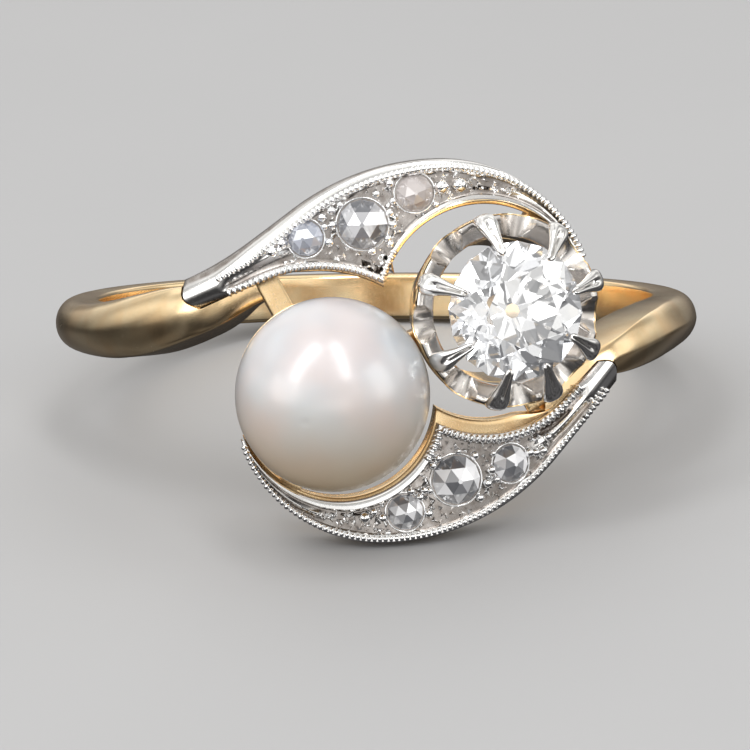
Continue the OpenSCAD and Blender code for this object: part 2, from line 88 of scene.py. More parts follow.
PEARL_AT = Vector((0.18 - STONE_X, -(BORE_R + 3.75), -STONE_Z - 0.04))
GEM_AT = Vector((STONE_X + 0.28, -(BORE_R + 4.15), STONE_Z))
LEAF_END = 6.43
END_W = 0.9
PEAK_X = STONE_X - 1.72
FLARE_X = 0.28 * LEAF_END - LEAF_END


class Leaf:
    """Measures of one leaf. Both are drawn where the upper one lies."""

    def __init__(self, curl_r, curl, side_r, side, width, tip, back, slope, flare, tip_z, ledge):
        self.curl_r = curl_r
        self.curl = Vector(curl)
        self.side_r = side_r
        self.side = Vector(side)
        self.top = self.curl.y + curl_r + width
        self.tip_r = curl_r + tip
        self.back_r = self.tip_r + back
        self.slope = math.radians(slope)
        self.flare = flare
        self.tip_z = tip_z
        self.ledge = ledge
        self.arc_x = PEAK_X - self.back_r * math.sin(self.slope)

    def outer_z(self, x):
        """Height of the outer edge at x."""
        if x > PEAK_X:
            return self.top - self.tip_r + math.sqrt(max(0, self.tip_r**2 - (x - PEAK_X) ** 2))
        if x > self.arc_x:
            return self.top - self.back_r + math.sqrt(self.back_r**2 - (x - PEAK_X) ** 2)
        line = self.top - self.back_r * (1 - math.cos(self.slope))
        line -= (self.arc_x - x) * math.tan(self.slope)
        return line + self.flare * max(0, FLARE_X - x) ** 2

    def inner_z(self, x):
        """Height of the inner edge at x."""
        heights = [-9.0]
        for centre, radius in ((self.curl, self.curl_r), (self.side, self.side_r)):
            if abs(x - centre.x) < radius:
                heights.append(centre.y + math.sqrt(radius**2 - (x - centre.x) ** 2))
        return max(heights)

    def run(self, x):
        """Direction of the straight part of the outer edge."""
        return math.atan(math.tan(self.slope) - 2 * self.flare * max(0, FLARE_X - x))

    def edge_point(self, x, inset):
        """Point of the outer edge, moved inward."""
        a = self.run(x)
        return Vector((x, self.outer_z(x))) + inset * Vector((math.sin(a), -math.cos(a)))


UPPER = Leaf(
    CROWN_R + 0.27, (STONE_X - 0.37, STONE_Z - 0.03),
    PEARL_R + 1.06, (PEARL_AT.x - 0.11, PEARL_AT.z - 0.39),
    1.27, 1.67, 2.1, 38, 0.08, 2.35, 0.1,
)
LOWER = Leaf(
    PEARL_R + 0.18, (STONE_X - 0.52, STONE_Z + 0.4),
    CROWN_R + 0.56, (0.54 - GEM_AT.x, 0.42 - GEM_AT.z),
    1.19, 1.15, 3.1, 47, 0.0, 2.8, 0.4,
)
LEAVES = (("upper", UPPER), ("lower", LOWER))
print(f"leaves reach {UPPER.top:.2f} mm above and {LOWER.top:.2f} mm below the middle")

# %% [markdown]
# ## How the ring lies
#
# A ring that is put down on its side stands on three points: here two on the lower leaf's
# plate and one at the back of the shank. Their plane is the floor, so its direction gives the
# two angles by which the ring leans.


# %% The three points and the lying pose
def plate_corner(x, z):
    """Point of the lower plate's underside, turned to where the lower leaf is."""
    return Vector((-x, -math.sqrt(PLATE_LOW**2 - x * x), -z))


corner_a = math.pi / 2 + LOWER.slope / 9
corner_r = LOWER.back_r - EDGE_STEP
foot_a = plate_corner(PEAK_X, LOWER.top - EDGE_STEP)
foot_b = plate_corner(
    PEAK_X + corner_r * math.cos(corner_a),
    LOWER.top - LOWER.back_r + corner_r * math.sin(corner_a),
)
shank_r = BORE_R + BAND_T - BAND_DOME * (1 - math.sin(math.radians(22.5)))
foot_c = Vector((
    shank_r * math.sin(math.radians(168)),
    -shank_r * math.cos(math.radians(168)),
    -BAND_HALF * math.cos(math.radians(22.5)),
))
down = (foot_b - foot_a).cross(foot_c - foot_a).normalized()
if down.z > 0:
    down.negate()
LEAN = math.atan2(down.x, -down.z)
LAY = math.atan2(down.y, math.hypot(down.x, down.z))
LIFT = down.dot(foot_a)
TURN_DOWN = Matrix.Rotation(-LAY, 4, "X") @ Matrix.Rotation(LEAN, 4, "Y")
front_y = (TURN_DOWN @ PEARL_AT).y - PEARL_R
back_h = math.hypot(math.sin(LEAN) * math.sin(LAY), math.cos(LAY))
back_y = (BORE_R + BAND_T - BAND_DOME) * back_h
back_y += math.hypot(BAND_DOME * back_h, BAND_HALF * math.cos(LEAN) * math.sin(LAY))
SHIFT = -(front_y + back_y) / 2
SEAT = Matrix.Translation((0, SHIFT / 1000, LIFT / 1000)) @ TURN_DOWN
LYING = SEAT @ Matrix.Scale(0.001, 4)
HALF_TURN = Matrix.Rotation(math.pi, 4, "Y")
AT_PEARL = Matrix.Translation(PEARL_AT) @ Matrix.Rotation(math.pi / 2, 4, "X")
AT_GEM = (
    Matrix.Translation(GEM_AT)
    @ Matrix.Rotation(math.pi / 2 - CROWN_RISE, 4, "X")
    @ Matrix.Rotation(CROWN_TURN, 4, "Y")
)
print(f"laid over by {math.degrees(LAY):.2f} and {math.degrees(LEAN):.2f} degrees")
print(f"lifted {LIFT:.3f} mm, moved {SHIFT:.3f} mm")

# %% [markdown]
# ## Small helpers
#
# Most parts of a ring are either turned, which is a spin, or they are a strip whose shape
# changes along its length. For the second kind a flat grid is made by Blender and its corners
# are moved to where the strip runs. That keeps the mesh regular, so that highlights stay
# smooth. Beads and grains are small spheres, set one by one.


# %% Mesh helpers
def formed(across, along, place, close=False):
    """A grid whose corners are moved to place(u, v), with u and v from 0 to 1."""
    bm = bmesh.new()
    bmesh.ops.create_grid(bm, x_segments=across, y_segments=along, size=0.5)
    for vert in bm.verts:
        vert.co = place(vert.co.x + 0.5, vert.co.y + 0.5)
    if close:
        bmesh.ops.remove_doubles(bm, verts=bm.verts, dist=1e-5)
    return bm


def spun(profile, steps=96, closed=True):
    """A profile of (radius, height) pairs turned once round the local Z axis."""
    bm = bmesh.new()
    verts = [bm.verts.new((r, 0, z)) for r, z in profile]
    pairs = list(zip(verts, verts[1:]))
    if closed:
        pairs.append((verts[-1], verts[0]))
    edges = [bm.edges.new(pair) for pair in pairs]
    bmesh.ops.spin(
        bm,
        geom=verts + edges,
        cent=(0, 0, 0),
        axis=(0, 0, 1),
        angle=2 * math.pi,
        steps=steps,
        use_merge=True,
    )
    bmesh.ops.remove_doubles(bm, verts=bm.verts, dist=1e-5)
    return bm


def rounded(bm, width, segments=2, angle=35):
    """Breaks the sharp edges of a form, as the polisher's wheel does."""
    bmesh.ops.recalc_face_normals(bm, faces=bm.faces)
    sharp = [
        edge
        for edge in bm.edges
        if len(edge.link_faces) == 2 and edge.calc_face_angle() > math.radians(angle)
    ]
    bmesh.ops.bevel(
        bm,
        geom=sharp,
        offset=width,
        offset_type="OFFSET",
        segments=segments,
        profile=0.5,
        affect="EDGES",
        material=-1,
    )
    return bm


def joined(*parts):
    """Several forms in one mesh."""
    whole = parts[0]
    for part in parts[1:]:
        mesh = bpy.data.meshes.new("part")
        part.to_mesh(mesh)
        whole.from_mesh(mesh)
        bpy.data.meshes.remove(mesh)
        part.free()
    return whole


def finished(name, bm, material, stands_for=(), at=None, smooth=40, flip=True):
    """Lays a form down with the ring and hands it to the frame as a named piece."""
    if flip:
        bmesh.ops.recalc_face_normals(bm, faces=bm.faces)
    place = LYING @ at if at else LYING
    bmesh.ops.transform(bm, matrix=place, verts=bm.verts)
    mesh = bpy.data.meshes.new(name)
    bm.to_mesh(mesh)
    bm.free()
    piece = bpy.data.objects.new(name, mesh)
    bpy.context.scene.collection.objects.link(piece)
    mesh.materials.append(material)
    mesh.shade_smooth()
    if smooth:
        mesh.set_sharp_from_angle(angle=math.radians(smooth))
    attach(piece, "root")
    if stands_for:
        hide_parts(*stands_for)
    print(f"{name}: {len(mesh.polygons)} faces")
    return piece


def turned_over(bm):
    """Turns a form half way round the ring's front axis, to where the lower leaf is."""
    bmesh.ops.transform(bm, matrix=HALF_TURN, verts=bm.verts)


def smoothstep(a, b, x):
    """0 before a, 1 after b, and a soft rise between them."""
    t = min(1, max(0, (x - a) / (b - a)))
    return t * t * (3 - 2 * t)


# %% [markdown]
# ## Shader arithmetic
#
# Each finish is a handful of patterns that are added and multiplied. Written as nodes that is
# a long list of links, so a socket is wrapped in a small class, and plain Python arithmetic on
# it adds the Math nodes.


# %% Shader helpers
class Finish:
    """One material's node tree."""

    def __init__(self, name, **constants):
        self.material = bpy.data.materials.new(name)
        self.material.use_nodes = True
        self.tree = self.material.node_tree
        self.shader = self.tree.nodes["Principled BSDF"]
        for socket, value in constants.items():
            self.shader.inputs[socket.replace("_", " ")].default_value = value
        self.place = self.node("ShaderNodeTexCoord").out("Object")

    def node(self, kind, settings=None, **sockets):
        """Adds a node, sets it up, then feeds its sockets with values or links."""
        made = self.tree.nodes.new(kind)
        for key, value in (settings or {}).items():
            setattr(made, key, value)
        for key, value in sockets.items():
            index = int(key[1:]) if key[0] == "i" and key[1:].isdigit() else key.replace("_", " ")
            socket = made.inputs[index]
            if isinstance(value, Value):
                self.tree.links.new(value.socket, socket)
            else:
                socket.default_value = value
        return Made(self, made)

    def feed(self, socket, value):
        """Links a pattern to one of the shader's own sockets."""
        self.tree.links.new(value.socket, self.shader.inputs[socket])

    def blend(self, factor, first, second):
        """A colour between two colours."""
        mix = self.node("ShaderNodeMix", {"data_type": "RGBA"}, i0=factor, i6=first, i7=second)
        return Value(self, mix.raw.outputs[2])

    def noise(self, scale, detail=3.0, rough=0.5, where=None, **more):
        """Soft cloudy pattern from 0 to 1. Scale counts patches per metre."""
        return self.node(
            "ShaderNodeTexNoise",
            Vector=where or self.place,
            Scale=scale,
            Detail=detail,
            Roughness=rough,
            **more,
        ).out(0)

    def stretched(self, factors, turn=(0.0, 0.0, 0.0)):
        """Object coordinates, turned and scaled, so a pattern can run one way."""
        return self.node(
            "ShaderNodeMapping", Vector=self.place, Scale=factors, Rotation=turn
        ).out(0)

    def ramp(self, value, low, high):
        """0 below low, 1 above high."""
        return self.node(
            "ShaderNodeMapRange", {"interpolation_type": "SMOOTHSTEP"}, i0=value, i1=low, i2=high
        ).out(0)

    def finger_radius(self):
        """Distance from the finger's axis, in metres, wherever the ring lies."""
        ring = self.node(
            "ShaderNodeMapping",
            {"vector_type": "TEXTURE"},
            Vector=self.place,
            Location=(0.0, SHIFT / 1000, LIFT / 1000),
            Rotation=TURN_DOWN.to_euler(),
        ).out(0)
        parts = self.node("ShaderNodeSeparateXYZ", Vector=ring)
        x, y = parts.out(0), parts.out(1)
        return (x * x + y * y) ** 0.5

    def bump(self, height, strength, distance):
        """Fine relief that is too small for the mesh."""
        made = self.node(
            "ShaderNodeBump", Height=height, Strength=strength, Distance=distance
        )
        self.feed("Normal", made.out(0))


class Made:
    """A node that was added, and its outputs."""

    def __init__(self, finish, raw):
        self.finish = finish
        self.raw = raw

    def out(self, which):
        return Value(self.finish, self.raw.outputs[which])


class Value:
    """A socket that can be used in arithmetic."""

    def __init__(self, finish, socket):
        self.finish = finish
        self.socket = socket

    def _math(self, operation, a, b):
        return self.finish.node("ShaderNodeMath", {"operation": operation}, i0=a, i1=b).out(0)

    def __add__(self, other):
        return self._math("ADD", self, other)

    __radd__ = __add__

    def __sub__(self, other):
        return self._math("SUBTRACT", self, other)

    def __rsub__(self, other):
        return self._math("SUBTRACT", other, self)

    def __mul__(self, other):
        return self._math("MULTIPLY", self, other)

    __rmul__ = __mul__

    def __pow__(self, other):
        return self._math("POWER", self, other)


# %% [markdown]
# ## Gold and platinum
#
# Old precious metal is polished, but it has been worn: hair-fine scratches run every way, the
# polish is a little uneven and a few casting pits are left. The scratches are stretched noise in
# the bump and the wear is cloudy noise in the roughness. Low places are darkened with painted
# shade. They lie nearer the finger than the polished face, so the distance from the finger's
# axis tells the shader where the painted shade goes.


# %% Metals
def metal(name, light, dark, roughness, scratch=0.3, painted_shade=None):
    """Polished precious metal with fine wear. Painted shade in low places is (lowest, highest, colour)."""
    finish = Finish(name, Metallic=1.0, IOR=1.5)
    cloud = finish.noise(900.0, 4.0)
    fine = finish.noise(9000.0, 2.0)
    along = finish.noise(1.0, 2.0, 0.6, finish.stretched((60000.0, 3000.0, 9000.0), (0.3, 0.5, 0.9)))
    cross = finish.noise(1.0, 2.0, 0.6, finish.stretched((4000.0, 52000.0, 7000.0), (0.9, 0.2, 0.4)))
    cells = finish.node("ShaderNodeTexVoronoi", Vector=finish.place, Scale=650.0).out("Distance")
    pits = 1 - finish.ramp(cells, 0.02, 0.06)
    colour = finish.blend(finish.ramp(cloud, 0.3, 0.72), dark, light)
    colour = finish.blend(0.7 * pits, colour, (0.12, 0.09, 0.06, 1))
    marks = finish.ramp(along, 0.62, 0.8) + finish.ramp(cross, 0.64, 0.8)
    rough = roughness + 0.07 * cloud + 0.05 * fine + 0.08 * marks
    # Painted shade: where the metal lies low, near the finger's axis, it is darkened and browned.
    if painted_shade:
        deep = 1 - finish.ramp(finish.finger_radius(), painted_shade[0] / 1000, painted_shade[1] / 1000)
        deep = deep * (0.45 + 0.75 * finish.noise(4200.0, 2.0))
        colour = finish.blend(deep, colour, painted_shade[2])
        rough = rough + 0.12 * deep
    finish.feed("Base Color", colour)
    finish.feed("Roughness", rough)
    finish.bump(0.7 * marks + 0.5 * fine + cloud - 3 * pits, scratch, 0.000004)
    return finish.material


GOLD = metal("worn yellow gold", (1.0, 0.8, 0.5, 1), (0.97, 0.7, 0.39, 1), 0.13)
# A darker, more orange copy of gold for the plates and struts under the leaves: painted shade.
SHADED_GOLD = metal("gold with painted shade, in the gallery", (0.96, 0.73, 0.43, 1), (0.86, 0.58, 0.3, 1), 0.2)
# The leaves' cut-down field lies lowest, so it is darkened with painted shade.
PLATINUM = metal(
    "worn platinum",
    (0.9, 0.89, 0.88, 1),
    (0.8, 0.79, 0.77, 1),
    0.11,
    painted_shade=(FACE_R - 0.14, FACE_R - 0.06, (0.24, 0.205, 0.18, 1)),
)
# A darker, browner copy of platinum for the coronet: painted shade on its petals, strongest low inside.
SHADED_PLATINUM = metal(
    "platinum with painted shade, in the coronet",
    (0.82, 0.79, 0.76, 1),
    (0.64, 0.6, 0.56, 1),
    0.15,
    painted_shade=(FACE_R + 0.8, FACE_R + 1.34, (0.24, 0.19, 0.155, 1)),
)
BRIGHT = metal("bright-cut platinum", (0.95, 0.95, 0.95, 1), (0.86, 0.86, 0.86, 1), 0.07, 0.15)
print("metals made")

# %% [markdown]
# ## The shank
#
# The shank is a half-round wire bent round the finger, thickened and swept out of line at both
# shoulders. The right one was filed to two faces that meet in a soft ridge. A spin could not
# change its section on the way, so a grid is closed to a tube and every ring of it is placed
# from a table of shares, the same table that the source uses.

# %% Shares along the shoulder: angle from the head, then how far each part has changed
SWEEP = [
    (180, 0, 0, 0, 1, 0),
    (90, 0, 0, 0, 1, 0),
    (80, 0.03, 0, 0.03, 0.98, 0),
    (70, 0.12, 0, 0.11, 0.93, 0),
    (60, 0.33, 0.02, 0.28, 0.84, 0),
    (50, 0.64, 0.11, 0.55, 0.68, 0),
    (44, 0.84, 0.22, 0.75, 0.56, 0),
    (38, 1, 0.38, 0.94, 0.42, 0),
    (34, 1, 0.5, 0.93, 0.35, 0),
    (30, 1, 0.65, 0.72, 0.3, 0.4),
    (27, 1, 0.8, 0.5, 0.25, 0.75),
    (24, 1, 1, 0.24, 0.15, 1),
]
END_ANGLE = math.degrees(math.asin(LEAF_END / FACE_R))


def share(angle, column):
    """One share at an angle, averaged over a few degrees so that it has no kinks."""
    total = 0
    for step in (-3, -2, -1, 0, 1, 2, 3):
        a = min(180, max(24, angle + step))
        for high, low in zip(SWEEP, SWEEP[1:]):
            if low[0] <= a <= high[0]:
                k = (a - low[0]) / (high[0] - low[0])
                total += low[column] + k * (high[column] - low[column])
                break
    return total / 7


def shank_ring(angle, leaf, right):
    """Points of one section, from the inner corner round the dome and back."""
    side_in = EDGE_STEP + 0.06
    if angle < END_ANGLE:
        top = leaf.outer_z(-FACE_R * math.sin(math.radians(angle))) - side_in
    else:
        reach = leaf.outer_z(-LEAF_END) - side_in - BAND_HALF
        top = BAND_HALF + reach * share(angle, 1)
    inner = leaf.inner_z(-FACE_R * math.sin(math.radians(24)))
    low = -BAND_HALF + (inner - leaf.ledge - EDGE_STEP - 0.15 + BAND_HALF) * share(angle, 2)
    rt = BORE_R + BAND_T + (FACE_R - BORE_R - BAND_T) * share(angle, 3)
    re = rt - BAND_DOME * share(angle, 4)
    ri = BORE_R + (PLATE_LOW + 0.15 - BORE_R) * share(angle, 5)
    z0, z1 = (-top, -low) if right else (low, top)
    mid = (z0 + z1) / 2
    half = (z1 - z0) / 2
    filed = smoothstep(30, 40, angle) * (1 - smoothstep(60, 88, angle)) * (0.6 if right else 0.15)
    ease = 0.14
    points = []
    for k in range(6):
        points.append((ri, mid + (half - ease) * (k / 2.5 - 1)))
    for k in range(1, 5):
        a = math.pi / 2 * k / 5
        points.append((ri + ease * (1 - math.cos(a)), mid + half - ease * (1 - math.sin(a))))
    for k in range(25):
        a = math.pi * k / 24
        round_top = math.sin(a) ** 0.9
        two_faces = 1 - abs(math.cos(a)) ** 1.2
        rise = round_top + (two_faces - round_top) * filed
        points.append((re + (rt - re) * rise, mid + half * math.cos(a)))
    for k in range(4, 0, -1):
        a = math.pi / 2 * k / 5
        points.append((ri + ease * (1 - math.cos(a)), mid - half + ease * (1 - math.sin(a))))
    return points


def shank_point(u, v):
    """u runs round the section and v from the right shoulder round the back to the left."""
    turn = 24 + v * 312
    right = turn <= 180
    ring = shank_ring(turn if right else 360 - turn, LOWER if right else UPPER, right)
    radius, z = ring[round(u * len(ring)) % len(ring)]
    a = math.radians(turn)
    return Vector((radius * math.sin(a), -radius * math.cos(a), z))


shank_form = formed(39, 260, shank_point, close=True)
open_ends = [edge for edge in shank_form.edges if edge.is_boundary]
bmesh.ops.holes_fill(shank_form, edges=open_ends, sides=0)
print("shank sections:", 260)

# %% [markdown]
# ## The outline of a leaf
#
# Each leaf is a strip between two edges. The outer edge is one long sweep. The inner edge
# follows the shoulder round one stone, turns at a cusp and curls round the other stone. Both
# are walked by length, so that a place on the leaf is a share of its length and a distance
# from an edge, which is how an engraver would set it out.


# %% Edges of a leaf as points
def circle_points(centre, radius, first, last, count):
    """Points on an arc between two angles in degrees."""
    steps = [math.radians(first + (last - first) * k / count) for k in range(count + 1)]
    return [centre + radius * Vector((math.cos(a), math.sin(a))) for a in steps]


def outer_line(leaf, inset, end_out):
    """Outer edge from the shoulder's end, along the flare and both arcs to the tip."""
    line = [end_out]
    for k in range(1, 13):
        line.append(leaf.edge_point(end_out.x + (FLARE_X - end_out.x) * k / 12, inset))
    slope = math.degrees(leaf.slope)
    rise = math.degrees(math.asin((leaf.tip_z - leaf.top + leaf.tip_r) / leaf.tip_r))
    high = Vector((PEAK_X, leaf.top - leaf.back_r))
    line += [p for p in circle_points(high, leaf.back_r - inset, 90 + slope, 90, 60) if p.x > FLARE_X]
    low = Vector((PEAK_X, leaf.top - leaf.tip_r))
    return line + circle_points(low, leaf.tip_r - inset, 90, rise, 80)[1:]


def leaf_edges(leaf, inset=0.0, ledge=0.0, curl_in=0.0):
    """(inner points up to the cusp, inner points after it, outer points)."""
    a = leaf.run(-LEAF_END)
    along = Vector((math.cos(a), math.sin(a)))
    end_out = leaf.edge_point(-LEAF_END, inset) + along * (2 * inset)
    end_in = leaf.edge_point(-LEAF_END, END_W - inset) + along * (2 * inset)
    outer = outer_line(leaf, inset, end_out)
    curl_r = leaf.curl_r - curl_in
    low_r = leaf.side_r - ledge
    gap = leaf.curl - leaf.side
    d = gap.length
    reach = (low_r**2 - curl_r**2 + d * d) / (2 * d)
    h = math.sqrt(low_r**2 - reach * reach)
    cusp = leaf.side + gap * (reach / d) + Vector((-gap.y, gap.x)) * (h / d)
    to_end = leaf.side - end_in
    start = math.atan2(to_end.y, to_end.x)
    start += math.asin(min(1, leaf.side_r / to_end.length))
    tangent = math.sqrt(max(0, to_end.length**2 - leaf.side_r**2))
    touch = end_in + tangent * Vector((math.cos(start), math.sin(start)))
    first = math.degrees(math.atan2(touch.y - leaf.side.y, touch.x - leaf.side.x))
    last = math.degrees(math.atan2(cusp.y - leaf.side.y, cusp.x - leaf.side.x))
    before = [end_in]
    for k in range(61):
        done = k / 60
        angle = math.radians(first + (last - first) * done)
        radius = leaf.side_r + (low_r - leaf.side_r) * smoothstep(0.0, 0.35, done)
        before.append(leaf.side + radius * Vector((math.cos(angle), math.sin(angle))))
    before[-1] = cusp
    from_angle = math.degrees(math.atan2(cusp.y - leaf.curl.y, cusp.x - leaf.curl.x))
    to_angle = math.degrees(math.atan2(outer[-1].y - leaf.curl.y, outer[-1].x - leaf.curl.x))
    return before, circle_points(leaf.curl, curl_r, from_angle, to_angle, 80), outer


def walker(points):
    """A function from a share of the length to a point on the line."""
    reach = [0.0]
    for a, b in zip(points, points[1:]):
        reach.append(reach[-1] + (b - a).length)
    total = reach[-1]

    def at(part):
        want = min(1, max(0, part)) * total
        for k in range(len(points) - 1):
            if reach[k + 1] >= want:
                span = reach[k + 1] - reach[k]
                return points[k].lerp(points[k + 1], (want - reach[k]) / span if span else 0)
        return points[-1].copy()

    return at, total


def leaf_strip(leaf, **margins):
    """Functions that give the inner and outer edge at a share s, and the cusp's share."""
    before, after, outer = leaf_edges(leaf, **margins)
    at_before, len_before = walker(before)
    at_after, len_after = walker(after)
    at_outer, len_outer = walker(outer)
    cusp = len_before / (len_before + len_after)

    def inner(s):
        return at_before(s / cusp) if s <= cusp else at_after((s - cusp) / (1 - cusp))

    return inner, at_outer, cusp, len_before + len_after, len_outer


def on_finger(point, radius):
    """A point of the head's plan, carried straight back onto a cylinder round the finger."""
    return Vector((point.x, -math.sqrt(radius**2 - point.x**2), point.y))


for leaf_name, leaf in LEAVES:
    facts = leaf_strip(leaf)
    print(f"{leaf_name} leaf: cusp at {facts[2]:.2f}, inner {facts[3]:.1f}, outer {facts[4]:.1f} mm")


# %% [markdown]
# ## A sheet between two edges
#
# The same strip makes the platinum leaf and the gold plate under it. The grid's columns sit at
# fixed distances from both edges, so a border stays as wide as it is cut while the leaf
# swells and narrows. A last extrusion gives the sheet its thickness.


# %% Sheets
def squeezed(width, room=1.15):
    """How much the borders are narrowed where the leaf is too thin for them."""
    return min(1, width / room)


def sheet_form(leaf, columns, height, thick, base, steps=170, **margins):
    """A closed sheet on the cylinder of radius base. height(s, a, b) shapes its face."""
    inner, outer, cusp, _, _ = leaf_strip(leaf, **margins)
    split = round(steps * cusp) / steps
    count = len(columns)
    end = outer(0) - inner(0)
    away = Vector((-end.y, end.x)).normalized() * (0.35 * end.length)
    last_in = max(d for side, d in columns if side == "in")
    first_out = max(d for side, d in columns if side == "out")

    def place(u, v):
        s = v / split * cusp if v <= split else cusp + (v - split) / (1 - split) * (1 - cusp)
        a, b = inner(s), outer(s)
        width = max(1e-6, (b - a).length)
        squeeze = squeezed(width)
        side, distance = columns[round(u * (count - 1))]
        if side == "in":
            t = distance * squeeze / width
        elif side == "out":
            t = 1 - distance * squeeze / width
        else:
            low = last_in * squeeze / width
            t = low + (1 - low - first_out * squeeze / width) * distance
        point = a.lerp(b, t) + away * math.sin(math.pi * t) * max(0, 1 - s / 0.05)
        return on_finger(point, base + height(s, t * width / squeeze, (1 - t) * width / squeeze))

    bm = formed(count - 1, steps, place)
    made = bmesh.ops.extrude_face_region(bm, geom=list(bm.faces), use_keep_orig=True)
    for vert in [g for g in made["geom"] if isinstance(g, bmesh.types.BMVert)]:
        vert.co.y = -math.sqrt((base - thick) ** 2 - vert.co.x**2)
    bmesh.ops.recalc_face_normals(bm, faces=bm.faces)
    return bm


COLUMNS = (
    [("in", d) for d in (0, 0.03, 0.07, 0.13, 0.19, 0.23, 0.27, 0.32, 0.36)]
    + [("mid", k / 12) for k in range(1, 12)]
    + [("out", d) for d in (0.6, 0.55, 0.5, 0.45, 0.4, 0.34, 0.28, 0.23, 0.18, 0.13, 0.08, 0.04, 0)]
)
PLAIN = (
    [("in", d) for d in (0, 0.03, 0.08, 0.2)]
    + [("mid", k / 4) for k in range(1, 4)]
    + [("out", d) for d in (0.2, 0.08, 0.03, 0)]
)


def eased(distance, ease=0.07, squash=1.0):
    """How far a rounded edge has dropped at a distance from it."""
    if distance >= ease:
        return 0
    return squash * (ease - math.sqrt(max(0, ease**2 - (ease - distance) ** 2)))


def plate_height(s, from_in, from_out):
    """A plain face with softened edges."""
    return -eased(from_in, 0.08) - eased(from_out, 0.08)


# %% [markdown]
# ## The face of a leaf
#
# Outside its beaded line the upper leaf has a broad band, rounded over and polished, which
# narrows toward the tip. Between the borders lies a field cut down by a hair, with slots and a
# ridge left by the graver. All of it is a height over the sheet, so one function draws it.


# %% Relief of the leaves
def upper_line(s):
    """Distance of the upper leaf's outer beads from its edge."""
    return 0.42 - 0.3 * smoothstep(0.15, 0.95, s)


def lower_line(s):
    """The lower leaf's beads run along its very edge."""
    return 0.12


# each slot: first share, last share, first and last distance from the inner edge, depth
UPPER_SLOTS = (
    (0.375, 0.4, 0.27, 0.42, 0.2),
    (0.408, 0.428, 0.27, 0.4, 0.2),
    (0.437, 0.455, 0.27, 0.37, 0.18),
    (0.685, 0.75, 0.44, 0.49, 0.14),
)
LOWER_SLOTS = (
    (0.13, 0.2, 0.3, 0.34, 0.1),
    (0.12, 0.22, 0.42, 0.46, 0.1),
    (0.66, 0.72, 0.4, 0.44, 0.1),
)


def leaf_height(line, slots, inner_border):
    """Height of a leaf's face over its outer cylinder."""

    def height(s, from_in, from_out):
        edge = line(s)
        open_end = smoothstep(0.01, 0.06, s)
        drop = eased(from_in, 0.06)
        drop += open_end * eased(from_out, max(0.05, edge - 0.1), 0.8)
        middle = from_in / max(1e-6, from_in + from_out)
        drop += 0.2 * (2 * middle - 1) ** 2 * (1 - smoothstep(0.03, 0.16, s))
        tail = smoothstep(0.05, 0.09, s) * (1 - smoothstep(0.93, 0.99, s))
        field = smoothstep(inner_border, inner_border + 0.05, from_in)
        field *= smoothstep(edge + 0.1, edge + 0.16, from_out)
        ridge = max(0, 1 - abs(middle - 0.5) * 6)
        tapers = 1 - smoothstep(0.2, 0.26, s) + smoothstep(0.74, 0.8, s)
        deep = 0.13 - 0.1 * ridge * min(1, tapers)
        for s0, s1, d0, d1, cut in slots:
            inside = smoothstep(s0 - 0.004, s0 + 0.004, s) * (1 - smoothstep(s1 - 0.004, s1 + 0.004, s))
            far = d1 - 0.85 * (d1 - d0) * max(0, s - s0) / (s1 - s0)
            inside *= smoothstep(d0 - 0.04, d0, from_in) * (1 - smoothstep(far, far + 0.04, from_in))
            deep += cut * inside
        return -drop - tail * field * deep

    return height


HEIGHTS = {
    "upper": leaf_height(upper_line, UPPER_SLOTS, 0.23),
    "lower": leaf_height(lower_line, LOWER_SLOTS, 0.25),
}
for leaf_name, leaf in LEAVES:
    face = sheet_form(leaf, COLUMNS, HEIGHTS[leaf_name], LEAF_T, FACE_R, 220)
    if leaf is LOWER:
        turned_over(face)
    finished(f"{leaf_name}_leaf_face", face, PLATINUM, [f"{leaf_name}_leaf"])
for leaf_name, leaf in LEAVES:
    margins = {"inset": EDGE_STEP, "ledge": leaf.ledge, "curl_in": 0.12}
    plate = sheet_form(leaf, PLAIN, plate_height, PLATE_T, PLATE_TOP, **margins)
    if leaf is LOWER:
        turned_over(plate)
    finished(f"{leaf_name}_plate", plate, SHADED_GOLD)

# %% [markdown]
# ## Letting the leaf into the shank
#
# The platinum lies in a pocket that is cut into each shoulder, so gold and platinum meet in one
# smooth face. The pocket is the leaf's own outline pulled outward, and a Boolean takes it
# away. Shaping the grid round it would need a seam that follows the tongue's curve.


# %% Pockets
def pocket_cutter(leaf):
    """The leaf's outline, a hair larger, from under the leaf out beyond the face."""
    form = sheet_form(leaf, PLAIN, lambda s, a, b: 0.9, 0.52, PLATE_TOP + 0.52, inset=-GAP)
    if leaf is LOWER:
        turned_over(form)
    bmesh.ops.transform(form, matrix=LYING, verts=form.verts)
    mesh = bpy.data.meshes.new("pocket")
    form.to_mesh(mesh)
    form.free()
    return bpy.data.objects.new("pocket", mesh)


shank = finished("shank", shank_form, GOLD, ["gold_frame"], smooth=50)
for leaf in (UPPER, LOWER):
    cutter = pocket_cutter(leaf)
    bpy.context.scene.collection.objects.link(cutter)
    cut = shank.modifiers.new("pocket", "BOOLEAN")
    cut.operation = "DIFFERENCE"
    cut.solver = "EXACT"
    cut.object = cutter
    bpy.context.view_layer.update()
    seen = shank.evaluated_get(bpy.context.evaluated_depsgraph_get())
    carved = bpy.data.meshes.new_from_object(seen)
    shank.modifiers.clear()
    old = shank.data
    shank.data = carved
    bpy.data.meshes.remove(old)
    bpy.data.objects.remove(cutter)
shank.data.name = "shank"
shank.data.shade_smooth()
shank.data.set_sharp_from_angle(angle=math.radians(50))
print("shank faces after both pockets:", len(shank.data.polygons))

# %% [markdown]
# ## Millgrain
#
# A knurled wheel rolled along an edge leaves a row of tiny beads. At a bead every 0.17 mm there
# are a few hundred, so each has only a few dozen faces. Every bead is wider across the edge
# than along it, which gives the corded look of a worn row.


